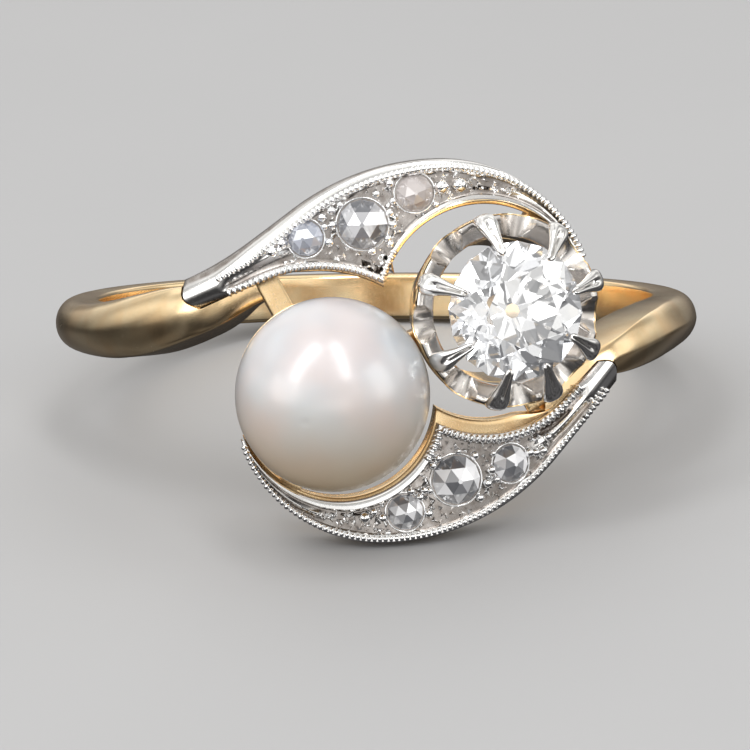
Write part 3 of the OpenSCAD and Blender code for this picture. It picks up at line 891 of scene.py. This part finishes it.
# %% Beaded rows
def bead(bm, centre, out, along, sizes):
    """One small rounded bead, with its radii along the row, across it and outward."""
    across = out.cross(along).normalized()
    axes = Matrix((along.normalized(), across, out.normalized())).transposed().to_4x4()
    place = Matrix.Translation(centre) @ axes @ Matrix.Diagonal((*sizes, 1))
    bmesh.ops.create_uvsphere(bm, u_segments=8, v_segments=6, radius=1, matrix=place)


def row(bm, leaf, side, line, first, last, pitch, sizes):
    """Beads along one edge of a leaf between two shares of its length."""
    inner, outer, _, len_in, len_out = leaf_strip(leaf)
    total = (len_in if side == "in" else len_out) * (last - first)
    count = round(total / pitch)
    for k in range(count + 1):
        s = first + (last - first) * k / count
        a, b = inner(s), outer(s)
        width = (b - a).length
        push = line(s) * squeezed(width) / width
        nearby = min(0.995, s)
        edge = inner if side == "in" else outer
        ahead = edge(nearby + 0.004) - edge(nearby - 0.004)
        centre = on_finger(a.lerp(b, push if side == "in" else 1 - push), FACE_R - 0.01)
        out = Vector((centre.x, centre.y, 0)).normalized()
        along = Vector((ahead.x, 0, ahead.y))
        along -= out * along.dot(out)
        size = 1 + 0.14 * noise.noise(centre * 7)
        bead(bm, centre, out, along, [size * radius for radius in sizes])


upper_beads = bmesh.new()
row(upper_beads, UPPER, "out", upper_line, 0.06, 0.985, 0.165, (0.075, 0.115, 0.1))
row(upper_beads, UPPER, "in", lambda s: 0.12, 0.07, 0.478, 0.17, (0.078, 0.13, 0.11))
lower_beads = bmesh.new()
row(lower_beads, LOWER, "out", lower_line, 0.03, 0.985, 0.165, (0.075, 0.105, 0.095))
row(lower_beads, LOWER, "in", lambda s: 0.15, 0.07, 0.5, 0.17, (0.078, 0.15, 0.11))
turned_over(lower_beads)
finished("upper_millgrain", upper_beads, BRIGHT, flip=False, smooth=0)
finished("lower_millgrain", lower_beads, BRIGHT, flip=False, smooth=0)

# %% [markdown]
# ## Grains and cuts round the small stones
#
# The rose cuts lie in drilled seats. The setter raises curls of metal over each stone's edge
# and rounds them with a cupped tool. What is left between two stones is cut with a bright
# graver into small wedges, so that it glitters like the stones do.

# %% Places of the small stones
PAVE = ((-1.16, 0.47), (-0.52, 0.5), (0.07, 0.53))
UPPER_R = (0.53, 0.73, 0.55)
LOWER_R = (0.55, 0.73, 0.53)
GRAIN_SCALE = 1.2


def stone_frame(leaf, k):
    """Local frame of a small stone: Z outward at the field of the leaf."""
    x = PAVE[k][0] * STONE_X
    low, high = leaf.inner_z(x), leaf.outer_z(x)
    return (
        Matrix.Rotation(math.asin(x / FACE_R), 4, "Z")
        @ Matrix.Translation((0, -(FACE_R - 0.12), low + PAVE[k][1] * (high - low)))
        @ Matrix.Rotation(math.pi / 2, 4, "X")
    )


def collar(radius):
    """Thin ring of metal round a seat."""
    profile = []
    for k in range(10):
        a = 2 * math.pi * k / 10
        profile.append((radius + 0.03 + 0.03 * math.cos(a), 0.03 * math.sin(a)))
    return spun(profile, steps=40)


def wedge(bm, local, spot, turn, size):
    """One bright-cut wedge: a low pyramid on three sides."""
    place = (
        local
        @ Matrix.Translation((*spot, 0.02))
        @ Matrix.Rotation(turn, 4, "Z")
        @ Matrix.Diagonal((size * 1.5, size, size * 0.8, 1))
    )
    bmesh.ops.create_cone(
        bm, cap_ends=True, segments=3, radius1=1, radius2=0.12, depth=1, matrix=place
    )


# For each stone: angle and distance from its centre, then the radius of a grain.
UPPER_GRAINS = (
    ((202, 1.07, 0.16), (193, 0.7, 0.15), (351, 0.74, 0.13), (84, 0.6, 0.09), (30, 0.68, 0.1)),
    ((170, 1.2, 0.11), (156, 1.0, 0.12), (181, 0.88, 0.12), (139, 0.87, 0.1), (289, 0.84, 0.12),
     (330, 0.85, 0.11), (324, 1.0, 0.11), (359, 0.9, 0.12), (22, 0.87, 0.12), (65, 0.98, 0.11)),
    ((12, 0.82, 0.2), (9, 1.36, 0.2), (158, 0.78, 0.12), (331, 0.72, 0.1), (200, 0.68, 0.1)),
)
LOWER_GRAINS = (
    ((207, 0.66, 0.13), (200, 0.84, 0.12), (198, 1.1, 0.12), (212, 1.4, 0.12), (45, 0.64, 0.1),
     (10, 0.66, 0.1), (330, 0.66, 0.09)),
    ((310, 0.86, 0.12), (328, 0.84, 0.11), (194, 1.1, 0.13), (172, 0.96, 0.13), (142, 0.9, 0.12),
     (232, 0.9, 0.13), (266, 0.85, 0.09), (20, 0.86, 0.1)),
    ((7, 1.2, 0.15), (14, 0.68, 0.13), (359, 0.92, 0.1), (176, 0.7, 0.13), (50, 0.8, 0.08),
     (254, 0.64, 0.11), (225, 0.62, 0.12), (228, 0.86, 0.11)),
)
# For each stone: angle and distance of a wedge, its own turn and its size.
UPPER_CUTS = (
    ((8, 0.86, 50, 0.14), (52, 0.72, 110, 0.13), (215, 0.72, 20, 0.1), (268, 0.68, 0, 0.09)),
    ((150, 0.9, 60, 0.15), (128, 0.96, 15, 0.13), (10, 0.98, 75, 0.14), (345, 1.0, 30, 0.14),
     (298, 1.25, 110, 0.13), (302, 1.55, 100, 0.12), (262, 0.9, 0, 0.1), (200, 0.95, 40, 0.1)),
    ((172, 0.74, 90, 0.13), (140, 0.82, 30, 0.1), (0, 0.78, 80, 0.11), (292, 0.7, 20, 0.1)),
)
LOWER_CUTS = (
    ((25, 0.72, 40, 0.13), (300, 0.72, 15, 0.11), (190, 0.95, 80, 0.11), (215, 1.05, 60, 0.1)),
    ((318, 1.0, 70, 0.15), (300, 1.15, 20, 0.13), (180, 1.05, 90, 0.13), (155, 1.02, 45, 0.13),
     (250, 0.92, 10, 0.11), (5, 0.92, 60, 0.12), (40, 0.96, 100, 0.1)),
    ((190, 0.78, 60, 0.13), (240, 0.78, 20, 0.13), (20, 0.9, 80, 0.11), (330, 0.74, 30, 0.1)),
)


def field_cuts(bm, leaf, line, radii, tries=330):
    """Small graver cuts scattered over the field, clear of borders and stones."""
    inner, outer, _, _, _ = leaf_strip(leaf)
    seats = [(stone_frame(leaf, k).translation, radii[k] + 0.09) for k in range(3)]
    chance = random.Random(5)
    for _ in range(tries):
        s = chance.uniform(0.2, 0.8)
        a, b = inner(s), outer(s)
        width = (b - a).length
        first, last = 0.32, width - line(s) - 0.2
        spot = on_finger(a.lerp(b, chance.uniform(first, last) / width), FACE_R - 0.11)
        if last < first or any((spot - seat).length < room for seat, room in seats):
            continue
        out = Vector((spot.x, spot.y, 0))
        size = chance.uniform(0.05, 0.11)
        place = (
            Matrix.Translation(spot)
            @ out.to_track_quat("Z", "Y").to_matrix().to_4x4()
            @ Matrix.Rotation(chance.uniform(0, 2 * math.pi), 4, "Z")
            @ Matrix.Rotation(chance.uniform(-0.3, 0.3), 4, "X")
            @ Matrix.Diagonal((1.7 * size, size, 0.1, 1))
        )
        bmesh.ops.create_cone(bm, cap_ends=True, segments=3, radius1=1, radius2=0.1, depth=1, matrix=place)


def settings_for(leaf, line, radii, grains, cuts):
    """Collars, grains and wedges of one leaf."""
    bm = bmesh.new()
    field_cuts(bm, leaf, line, radii)
    for k in range(3):
        local = stone_frame(leaf, k)
        ring = collar(radii[k] + GAP)
        bmesh.ops.transform(ring, matrix=local, verts=ring.verts)
        bm = joined(bm, ring)
        turned = local.to_3x3()
        for degrees, reach, size in grains[k]:
            a = math.radians(degrees)
            centre = local @ Vector((reach * math.cos(a), reach * math.sin(a), 0.04))
            along = turned @ Vector((-math.sin(a), math.cos(a), 0))
            radius = GRAIN_SCALE * size
            bead(bm, centre, turned @ Vector((0, 0, 1)), along, (radius, radius, radius))
        for degrees, reach, own_turn, size in cuts[k]:
            a = math.radians(degrees)
            spot = (reach * math.cos(a), reach * math.sin(a))
            wedge(bm, local, spot, math.radians(own_turn), GRAIN_SCALE * size)
    return bm


upper_set = settings_for(UPPER, upper_line, UPPER_R, UPPER_GRAINS, UPPER_CUTS)
lower_set = settings_for(LOWER, lower_line, LOWER_R, LOWER_GRAINS, LOWER_CUTS)
turned_over(lower_set)
finished("upper_grains", upper_set, BRIGHT, smooth=42)
finished("lower_grains", lower_set, BRIGHT, smooth=42)

# %% [markdown]
# ## The pearl's cup and the struts
#
# The cup is turned from sheet, so its profile is spun, and so is the peg that the pearl is
# glued on. Both stand on short bars that were bent to the finger's curve: each is a cube
# stretched, cut into slices and laid on a cylinder.

# %% Cup and peg
in_r = PEARL_R + CUP_GAP
cup_r = in_r + CUP_WALL
rim = math.asin(CUP_LOW / cup_r)
rim_in = math.asin(CUP_LOW / in_r)
profile = [(0.0, -cup_r)]
for k in range(1, 25):
    a = -math.pi / 2 + (math.pi / 2 - rim) * k / 24
    profile.append((cup_r * math.cos(a), cup_r * math.sin(a)))
profile.append((cup_r * math.cos(rim) - 0.06, 0.05 - CUP_LOW))
profile.append((in_r * math.cos(rim_in) + 0.05, 0.05 - CUP_LOW))
for k in range(24, 0, -1):
    a = -math.pi / 2 + (math.pi / 2 - rim_in) * k / 24
    profile.append((in_r * math.cos(a), in_r * math.sin(a)))
profile.append((0.0, -in_r))
PEG_R = 0.4
peg_low, peg_top = -in_r - 0.1, 2 - PEARL_R
peg = spun([(0, peg_low), (PEG_R, peg_low), (PEG_R, peg_top), (0, peg_top)], 32, closed=False)
cup = joined(spun(profile, steps=96, closed=False), peg)
finished("pearl_cup", cup, GOLD, at=AT_PEARL, smooth=50)


# %% Struts and bridges
def strut(centre, degrees, start, stop, width=0.7, low=PLATE_LOW + 0.1, high=PLATE_TOP):
    """A short bar in the head's plan, bent to the finger's curve."""
    bm = bmesh.new()
    bmesh.ops.create_cube(bm, size=1)
    bmesh.ops.subdivide_edges(bm, edges=bm.edges, cuts=5, use_grid_fill=True)
    a = math.radians(degrees)
    for vert in bm.verts:
        along = start + (vert.co.x + 0.5) * (stop - start)
        side = vert.co.y * width
        radius = low + (vert.co.z + 0.5) * (high - low)
        x = centre[0] + along * math.cos(a) - side * math.sin(a)
        z = centre[1] + along * math.sin(a) + side * math.cos(a)
        vert.co = (x, -math.sqrt(radius**2 - x * x), z)
    return rounded(bm, 0.05, 2, 60)


low_waist = CROWN_LOW + CROWN_H + COLLET_H / 2
waist_r = CROWN_R - 0.22
foot_r = waist_r - COLLET_IN
mid_r = (waist_r + foot_r) / 2
waist = (GEM_AT.x - low_waist * math.sin(CROWN_TURN), GEM_AT.z - low_waist * math.sin(CROWN_RISE))
cup_at = (PEARL_AT.x, PEARL_AT.z)
bars = joined(
    strut(cup_at, 118, 1.6, UPPER.side_r),
    strut(waist, 298, mid_r - 0.2, LOWER.side_r),
    strut(cup_at, 250, 1.6, LOWER.curl_r + 0.3),
    strut(waist, 60, mid_r - 0.2, UPPER.curl_r + 0.25),
    strut((0, 0), 24, 1.6 - HALF_SPAN, math.hypot(*waist) - mid_r + 0.2),
)
finished("struts", bars, SHADED_GOLD)

# %% [markdown]
# ## The crown
#
# The diamond's setting is two metals: a gold collet below and a platinum coronet above. Both
# are turned, so they are spun. Round notches were filed across the coronet's thick wall
# between the claws, which is done here by lowering the corners of its mesh. A claw is a
# tapered bar with a groove cut down its back. The claws were filed up by eye, so none stands
# quite at its even place.

# %% Collet and coronet
CREST = -CROWN_LOW
JOINT = 2 * CREST
SEAM = CREST - CROWN_H
FOOT = SEAM - COLLET_H
rim_r = CROWN_R - 0.05
collet_profile = [
    (foot_r - 0.3, FOOT),
    (foot_r, FOOT),
    (mid_r + 0.02, -2.5),
    (rim_r - 0.02, JOINT),
    (CROWN_R - 0.01, -0.96),
    (CROWN_R, -0.74),
    (CROWN_R - 0.02, -0.7),
    (CROWN_R - 0.05, -0.74),
    (CROWN_R - 0.07, -0.96),
    (rim_r - 0.06, JOINT),
    (rim_r - CROWN_WALL / 2 - 0.04, JOINT),
    (waist_r - CROWN_WALL / 2, SEAM),
    (waist_r - CROWN_WALL - 0.1, SEAM),
]
CLAW_ANGLES = [20 + 45 * k + shift for k, shift in enumerate((-2, -7, -3, 7, 13, 14, 6, -1))]


def notch_height(angle):
    """Height of the notch's floor at an angle round the coronet, or 0 where there is none."""
    degrees = math.degrees(angle) % 360
    if degrees < CLAW_ANGLES[0]:
        degrees += 360
    for first, last in zip(CLAW_ANGLES, CLAW_ANGLES[1:] + [CLAW_ANGLES[0] + 360]):
        if first <= degrees <= last:
            radius = 0.4 + 0.175 * (last - first) / 45
            side = CROWN_R * math.sin(math.radians(degrees - (first + last) / 2))
            return -0.48 - math.sqrt(radius**2 - side**2) if abs(side) < radius else 0
    return 0


coronet_profile = [
    (waist_r - 0.23, -1.65), (rim_r - 0.27, -1.22), (rim_r - 0.08, -1.22), (rim_r - 0.07, -1.15),
    (rim_r - 0.05, -0.98), (CROWN_R - 0.07, -0.86), (CROWN_R - 0.05, -0.72), (CROWN_R - 0.05, -0.66),
    (CROWN_R - 0.09, CREST), (CROWN_R - 0.2, CREST), (CROWN_R - 0.26, -0.65), (CROWN_R - 0.36, -0.74),
    (CROWN_R - 0.46, -0.82), (CROWN_R - 0.56, -0.9), (CROWN_R - 0.64, -0.97), (CROWN_R - 0.67, -1.04),
    (waist_r - 0.48, -1.35), (waist_r - 0.5, -1.65),
]


def notched(bm):
    """Lowers a turned form's upper corners to the floors of the notches."""
    for vert in bm.verts:
        floor_z = notch_height(math.atan2(vert.co.y, vert.co.x))
        if floor_z < vert.co.z and vert.co.z > -1.15:
            vert.co.z = floor_z - 0.05 * (CREST - vert.co.z)
    return bm


coronet = notched(spun(coronet_profile, steps=320))
collet = notched(spun(collet_profile, steps=320))
finished("collet", collet, GOLD, at=AT_GEM)
finished("coronet", coronet, SHADED_PLATINUM, ["crown"], at=AT_GEM, smooth=38)

# %% Claws
TABLE_R = 0.52 * GEM_R
TABLE_H = 0.17 * 2 * GEM_R
STAR_R = TABLE_R + 0.42 * (GEM_R - TABLE_R)
fall = (TABLE_H - 0.03) / (GEM_R - TABLE_R)
STAR_H = TABLE_H - fall * (STAR_R * math.cos(math.radians(22.5)) - TABLE_R)
TIP_R = GEM_R - 0.36
over = STAR_H - (STAR_H - 0.03) * (TIP_R - STAR_R) / (GEM_R - STAR_R) + 0.03
spine = [
    Vector((CROWN_R - 0.22, -1.14)),
    Vector((CROWN_R - 0.18, -0.9)),
    Vector((CROWN_R - 0.15, -0.68)),
    Vector((CROWN_R - 0.14, -0.48)),
    Vector((CROWN_R - 0.18, -0.28)),
    Vector((CROWN_R - 0.31, -0.1)),
    Vector((GEM_R + 0.3, 0.06)),
    Vector((GEM_R + 0.12, 0.2)),
    Vector((GEM_R - 0.06, 0.31)),
    Vector((GEM_R - 0.22, 0.39)),
    Vector((TIP_R, over + 0.07)),
]
spine_at, _ = walker(spine)
PEARL_SIDE = 180 + math.degrees(SLANT)


def one_claw(bulge):
    """A claw with a knuckle that stands out as far as its neighbours leave it room."""

    def claw_point(u, v):
        here = spine_at(v)
        ahead = (spine_at(min(1, v + 0.03)) - spine_at(max(0, v - 0.03))).normalized()
        away = Vector((ahead.y, -ahead.x))
        knuckle = math.exp(-(((v - 0.42) / 0.2) ** 2))
        half = 0.22 + 0.11 * knuckle - 0.09 * smoothstep(0.5, 1, v)
        deep = 0.15 + 0.07 * bulge * knuckle - 0.04 * smoothstep(0.5, 0.9, v)
        close = math.sqrt(max(0, 1 - max(0, (v - 0.92) / 0.08) ** 2))
        close *= math.sqrt(max(0, 1 - max(0, (0.05 - v) / 0.05) ** 2))
        a = 2 * math.pi * u
        side = half * math.copysign(abs(math.sin(a)) ** 0.8, math.sin(a)) * close
        lift = deep * math.copysign(abs(math.cos(a)) ** 0.85, math.cos(a)) * close
        if math.cos(a) > 0:
            groove = math.exp(-((side / (0.24 * half)) ** 2)) * smoothstep(0.45, 0.58, v)
            lift -= 0.13 * groove * close * (1 - smoothstep(0.9, 1, v))
        point = here + away * (lift + 0.05 * bulge * knuckle)
        return Vector((point.x, side, point.y))

    return formed(44, 40, claw_point, close=True)


claws = bmesh.new()
for degrees in CLAW_ANGLES:
    claw = one_claw(smoothstep(15, 40, abs(degrees - PEARL_SIDE)))
    turn = Matrix.Rotation(math.radians(degrees), 4, "Z")
    bmesh.ops.transform(claw, matrix=turn, verts=claw.verts)
    claws = joined(claws, claw)
finished("claws", claws, PLATINUM, at=AT_GEM, smooth=60)

# %% [markdown]
# ## The pearl
#
# Nacre is not a clear coat over white. Light enters it, scatters between its layers and comes
# back with a faint pink and blue cast, over a highlight that is broad and soft. A little
# subsurface light and a thin coat give that. Its colour is painted darker and warmer toward
# the bottom, as shade. The form is a sphere with the faintest unevenness and one tiny dimple,
# because a mirror-round ball would look like plastic.

# %% Pearl
DIMPLE = Vector((-0.36, -0.2, 0.91)).normalized()
pearl_form = bmesh.new()
bmesh.ops.create_uvsphere(pearl_form, u_segments=128, v_segments=96, radius=PEARL_R)
for vert in pearl_form.verts:
    uneven = 0.004 * (0.5 + 0.5 * noise.noise(vert.co * 0.5))
    far = (vert.co.normalized() - DIMPLE).length
    vert.co *= 1 - uneven - 0.006 * math.exp(-((far / 0.035) ** 2))
nacre = Finish(
    "nacre",
    IOR=1.75,
    Subsurface_Weight=0.2,
    Subsurface_Radius=(0.0010, 0.0008, 0.0006),
    Subsurface_Scale=1.0,
    Coat_Weight=0.7,
    Coat_IOR=1.6,
    Coat_Roughness=0.2,
)
height = nacre.node("ShaderNodeSeparateXYZ", Vector=nacre.place).out(2)
# Painted shade: the nacre is darker and warmer toward its bottom, lighter at its top.
painted_light_by_height = nacre.ramp(height, 0.001, 0.0072)
mist = nacre.noise(330.0, 2.0)
silver = nacre.blend(nacre.ramp(mist, 0.36, 0.64), (0.56, 0.51, 0.51, 1), (0.5, 0.53, 0.56, 1))
drift = nacre.ramp(nacre.noise(420.0, 2.0), 0.3, 0.7)
shaded_bottom_colour = nacre.blend(drift, (0.44, 0.3, 0.13, 1), (0.5, 0.37, 0.19, 1))
nacre.feed("Base Color", nacre.blend(painted_light_by_height, shaded_bottom_colour, silver))
nacre.feed("Roughness", 0.26 + 0.06 * nacre.noise(700.0, 3.0))
nacre.bump(nacre.noise(1800.0, 3.0), 0.12, 0.00002)
finished("pearl_nacre", pearl_form, nacre.material, ["pearl"], at=AT_PEARL, smooth=0)

# %% [markdown]
# ## Diamond
#
# The faceted solids are already true: a table, kites, halves and mains on the old cut, and
# six-sided roses. They keep their meshes and only get the finish of the stone. What makes a
# cut stone read as diamond is that each facet returns a light or a dark of its own. That light
# and dark is painted: the direction a facet faces, put through a noise, gives every facet one
# painted brightness. On the diamond it only tints the clear stone a little; the rose cuts are
# opaque greys painted facet by facet, as reflections. The bright facets give off a little light
# of their own, which stands in for the sparkle that a still picture of clear glass lacks. A real
# stone doesn't glow.


# %% Stones
def painted_facet_light(finish, scale):
    """One painted brightness from 0 to 1 for each flat facet."""
    facing = finish.node("ShaderNodeNewGeometry").out("True Normal")
    return finish.ramp(finish.noise(scale, 1.0, 0.5, facing), 0.35, 0.65)


gem = Finish("old-cut diamond", IOR=2.42, Roughness=0.0, Transmission_Weight=1.0, Emission_Strength=1.0)
# Painted light: each facet gets one brightness, which tints the stone a little and sets its glow.
spark = painted_facet_light(gem, 3.1)
gem.feed("Base Color", gem.blend(spark, (0.9, 0.92, 0.97, 1), (1.0, 1.0, 0.99, 1)))
glint = gem.ramp(spark, 0.25, 0.8)
gem.feed("Emission Color", gem.blend(glint, (0.0, 0.0, 0.0, 1), (0.07, 0.071, 0.073, 1)))
gem.feed("Roughness", 0.002 + 0.01 * gem.noise(1200.0, 2.0))


def rose_finish(name, dark, light, seed, shine):
    """A rose cut over a closed back: each facet painted an opaque grey of its own, as a reflection, and
    the brightest made to glow a little.
    """
    finish = Finish(name, IOR=2.42, Emission_Strength=1.0)
    value = painted_facet_light(finish, seed)
    cloud = finish.noise(1500.0, 3.0)
    # Painted reflection: the facet's value picks its grey between dark and light.
    colour = finish.blend(value, dark, light)
    finish.feed("Base Color", finish.blend(0.35 * cloud, colour, (0.45, 0.45, 0.48, 1)))
    glint = finish.ramp(value, 0.55, 0.95)
    finish.feed("Emission Color", finish.blend(glint, (0, 0, 0, 1), (shine, shine, shine, 1)))
    finish.feed("Roughness", 0.04 + 0.08 * cloud)
    return finish.material


CLEAR_ROSE = rose_finish("rose-cut diamond", (0.07, 0.075, 0.085, 1), (0.85, 0.85, 0.87, 1), 1.25, 0.22)
GREY_ROSE = rose_finish("grey rose-cut diamond", (0.17, 0.19, 0.24, 1), (0.6, 0.64, 0.74, 1), 1.3, 0.03)
CLOUDY_ROSE = rose_finish("cloudy rose-cut diamond", (0.4, 0.35, 0.33, 1), (0.52, 0.47, 0.45, 1), 0.9, 0.0)
STONE_LOOKS = {
    "diamond": gem.material,
    "upper_small_stone": GREY_ROSE,
    "upper_large_stone": CLEAR_ROSE,
    "upper_medium_stone": CLOUDY_ROSE,
    "lower_small_stone": CLEAR_ROSE,
    "lower_large_stone": CLEAR_ROSE,
    "lower_medium_stone": CLEAR_ROSE,
}
for node_name, look in STONE_LOOKS.items():
    for slot_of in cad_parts[node_name].material_slots:
        slot_of.material = look
print("stones finished:", len(STONE_LOOKS))

# %% [markdown]
# ## Floor, light and camera
#
# The floor is plain and pale, and neither mirrored nor refracted rays see it. That is a studio
# trick and not optics: with it the left of the shank and the diamond keep their contrast. Its
# price is that both ends of the shank come out darker than the real ring's.
#
# Two long soft boxes lean over the head with a gap between them: their reflections are the
# pearl's twin highlights. Weak cards stand low in front and at both sides, and a tent that is
# bright above turns every upper face to cream.

# %% Floor
floor_form = bmesh.new()
bmesh.ops.create_grid(floor_form, x_segments=1, y_segments=1, size=0.6)
floor_mesh = bpy.data.meshes.new("floor")
floor_form.to_mesh(floor_mesh)
floor_form.free()
floor = bpy.data.objects.new("floor", floor_mesh)
bpy.context.scene.collection.objects.link(floor)
paper = Finish("pale floor", Roughness=0.6)
paper.feed("Base Color", paper.blend(paper.noise(40.0), (0.38, 0.38, 0.385, 1), (0.41, 0.41, 0.415, 1)))
floor_mesh.materials.append(paper.material)
floor.visible_glossy = False
floor.visible_transmission = False


# %% Lights
def soft_box(name, azimuth, elevation, distance, size, glow, colour=(1, 1, 1), turn=0):
    """A rectangular lamp that looks at the head. Glow is how bright its face looks."""
    a, e = math.radians(azimuth), math.radians(elevation)
    head = Vector((0, -0.008, 0.005))
    way = Vector((math.sin(a) * math.cos(e), -math.cos(a) * math.cos(e), math.sin(e)))
    lamp = bpy.data.lights.new(name, "AREA")
    lamp.shape = "RECTANGLE"
    lamp.size, lamp.size_y = size
    lamp.energy = glow * math.pi * size[0] * size[1]
    lamp.color = colour
    lamp_object = bpy.data.objects.new(name, lamp)
    facing = way.to_track_quat("Z", "Y").to_matrix().to_4x4()
    spin = Matrix.Rotation(math.radians(turn), 4, "Z")
    lamp_object.matrix_world = Matrix.Translation(head + way * distance) @ facing @ spin
    bpy.context.scene.collection.objects.link(lamp_object)
    return lamp_object


soft_box("left_box", -58, 52, 0.4, (0.085, 0.34), 6.0)
soft_box("right_box", 18, 58, 0.4, (0.07, 0.34), 6.0)
soft_box("front_card", -6, 7, 0.5, (0.42, 0.1), 0.9)
soft_box("left_card", -66, 16, 0.5, (0.34, 0.2), 1.7)
soft_box("side_card", 62, 20, 0.5, (0.22, 0.32), 1.7)

# %% A light tent: bright above with darker folds, dim near the floor
world = bpy.data.worlds.new("studio")
world.use_nodes = True
tent = world.node_tree
way = tent.nodes.new("ShaderNodeTexCoord").outputs["Generated"]
way_up = tent.nodes.new("ShaderNodeSeparateXYZ")
tent.links.new(way, way_up.inputs[0])
height = tent.nodes.new("ShaderNodeMapRange")
height.inputs[1].default_value = -0.5
tent.links.new(way_up.outputs["Z"], height.inputs[0])
brightness = tent.nodes.new("ShaderNodeValToRGB")
stops = brightness.color_ramp.elements
stops[0].position = 0.2
stops[0].color = (0.09, 0.088, 0.09, 1)
stops[1].position = 0.95
stops[1].color = (1.0, 0.99, 0.97, 1)
for where, colour in ((0.33, (0.44, 0.43, 0.42, 1)), (0.46, (0.92, 0.91, 0.89, 1))):
    stop = stops.new(where)
    stop.color = colour
tent.links.new(height.outputs[0], brightness.inputs[0])
folds = tent.nodes.new("ShaderNodeTexNoise")
folds.inputs["Scale"].default_value = 2.2
folds.inputs["Detail"].default_value = 1.0
tent.links.new(way, folds.inputs["Vector"])
shade = tent.nodes.new("ShaderNodeMapRange")
for number, value in enumerate((0.38, 0.6, 0.45, 1.3), 1):
    shade.inputs[number].default_value = value
tent.links.new(folds.outputs[0], shade.inputs[0])
tent.links.new(brightness.outputs[0], tent.nodes["Background"].inputs[0])
tent.links.new(shade.outputs[0], tent.nodes["Background"].inputs[1])
bpy.context.scene.world = world
bpy.context.scene.view_settings.view_transform = "Standard"

# %% Camera at the photograph's angle to the ring
yaw, climb, roll = math.radians(5.3), math.radians(4.6), math.radians(0.57)
back = Vector((-math.sin(yaw) * math.cos(climb), -math.cos(yaw) * math.cos(climb), math.sin(climb)))
flat_right = Vector((math.cos(yaw), -math.sin(yaw), 0))
flat_up = flat_right.cross(-back)
right = math.cos(roll) * flat_right - math.sin(roll) * flat_up
up = math.sin(roll) * flat_right + math.cos(roll) * flat_up
seat = Matrix((right, up, back)).transposed().to_4x4()
seat.translation = back * 0.18
camera = bpy.data.cameras.new("camera")
camera.sensor_width = 36
camera.lens = 5751 * 36 / 750
camera.shift_x = (375 - 375.8) / 750
camera.shift_y = (318.1 - 375) / 750
camera.clip_start = 0.01
camera.clip_end = 10
camera_object = bpy.data.objects.new("camera", camera)
camera_object.matrix_world = SEAT @ seat
bpy.context.scene.collection.objects.link(camera_object)
bpy.context.scene.camera = camera_object
print(f"camera lens {camera.lens:.0f} mm")
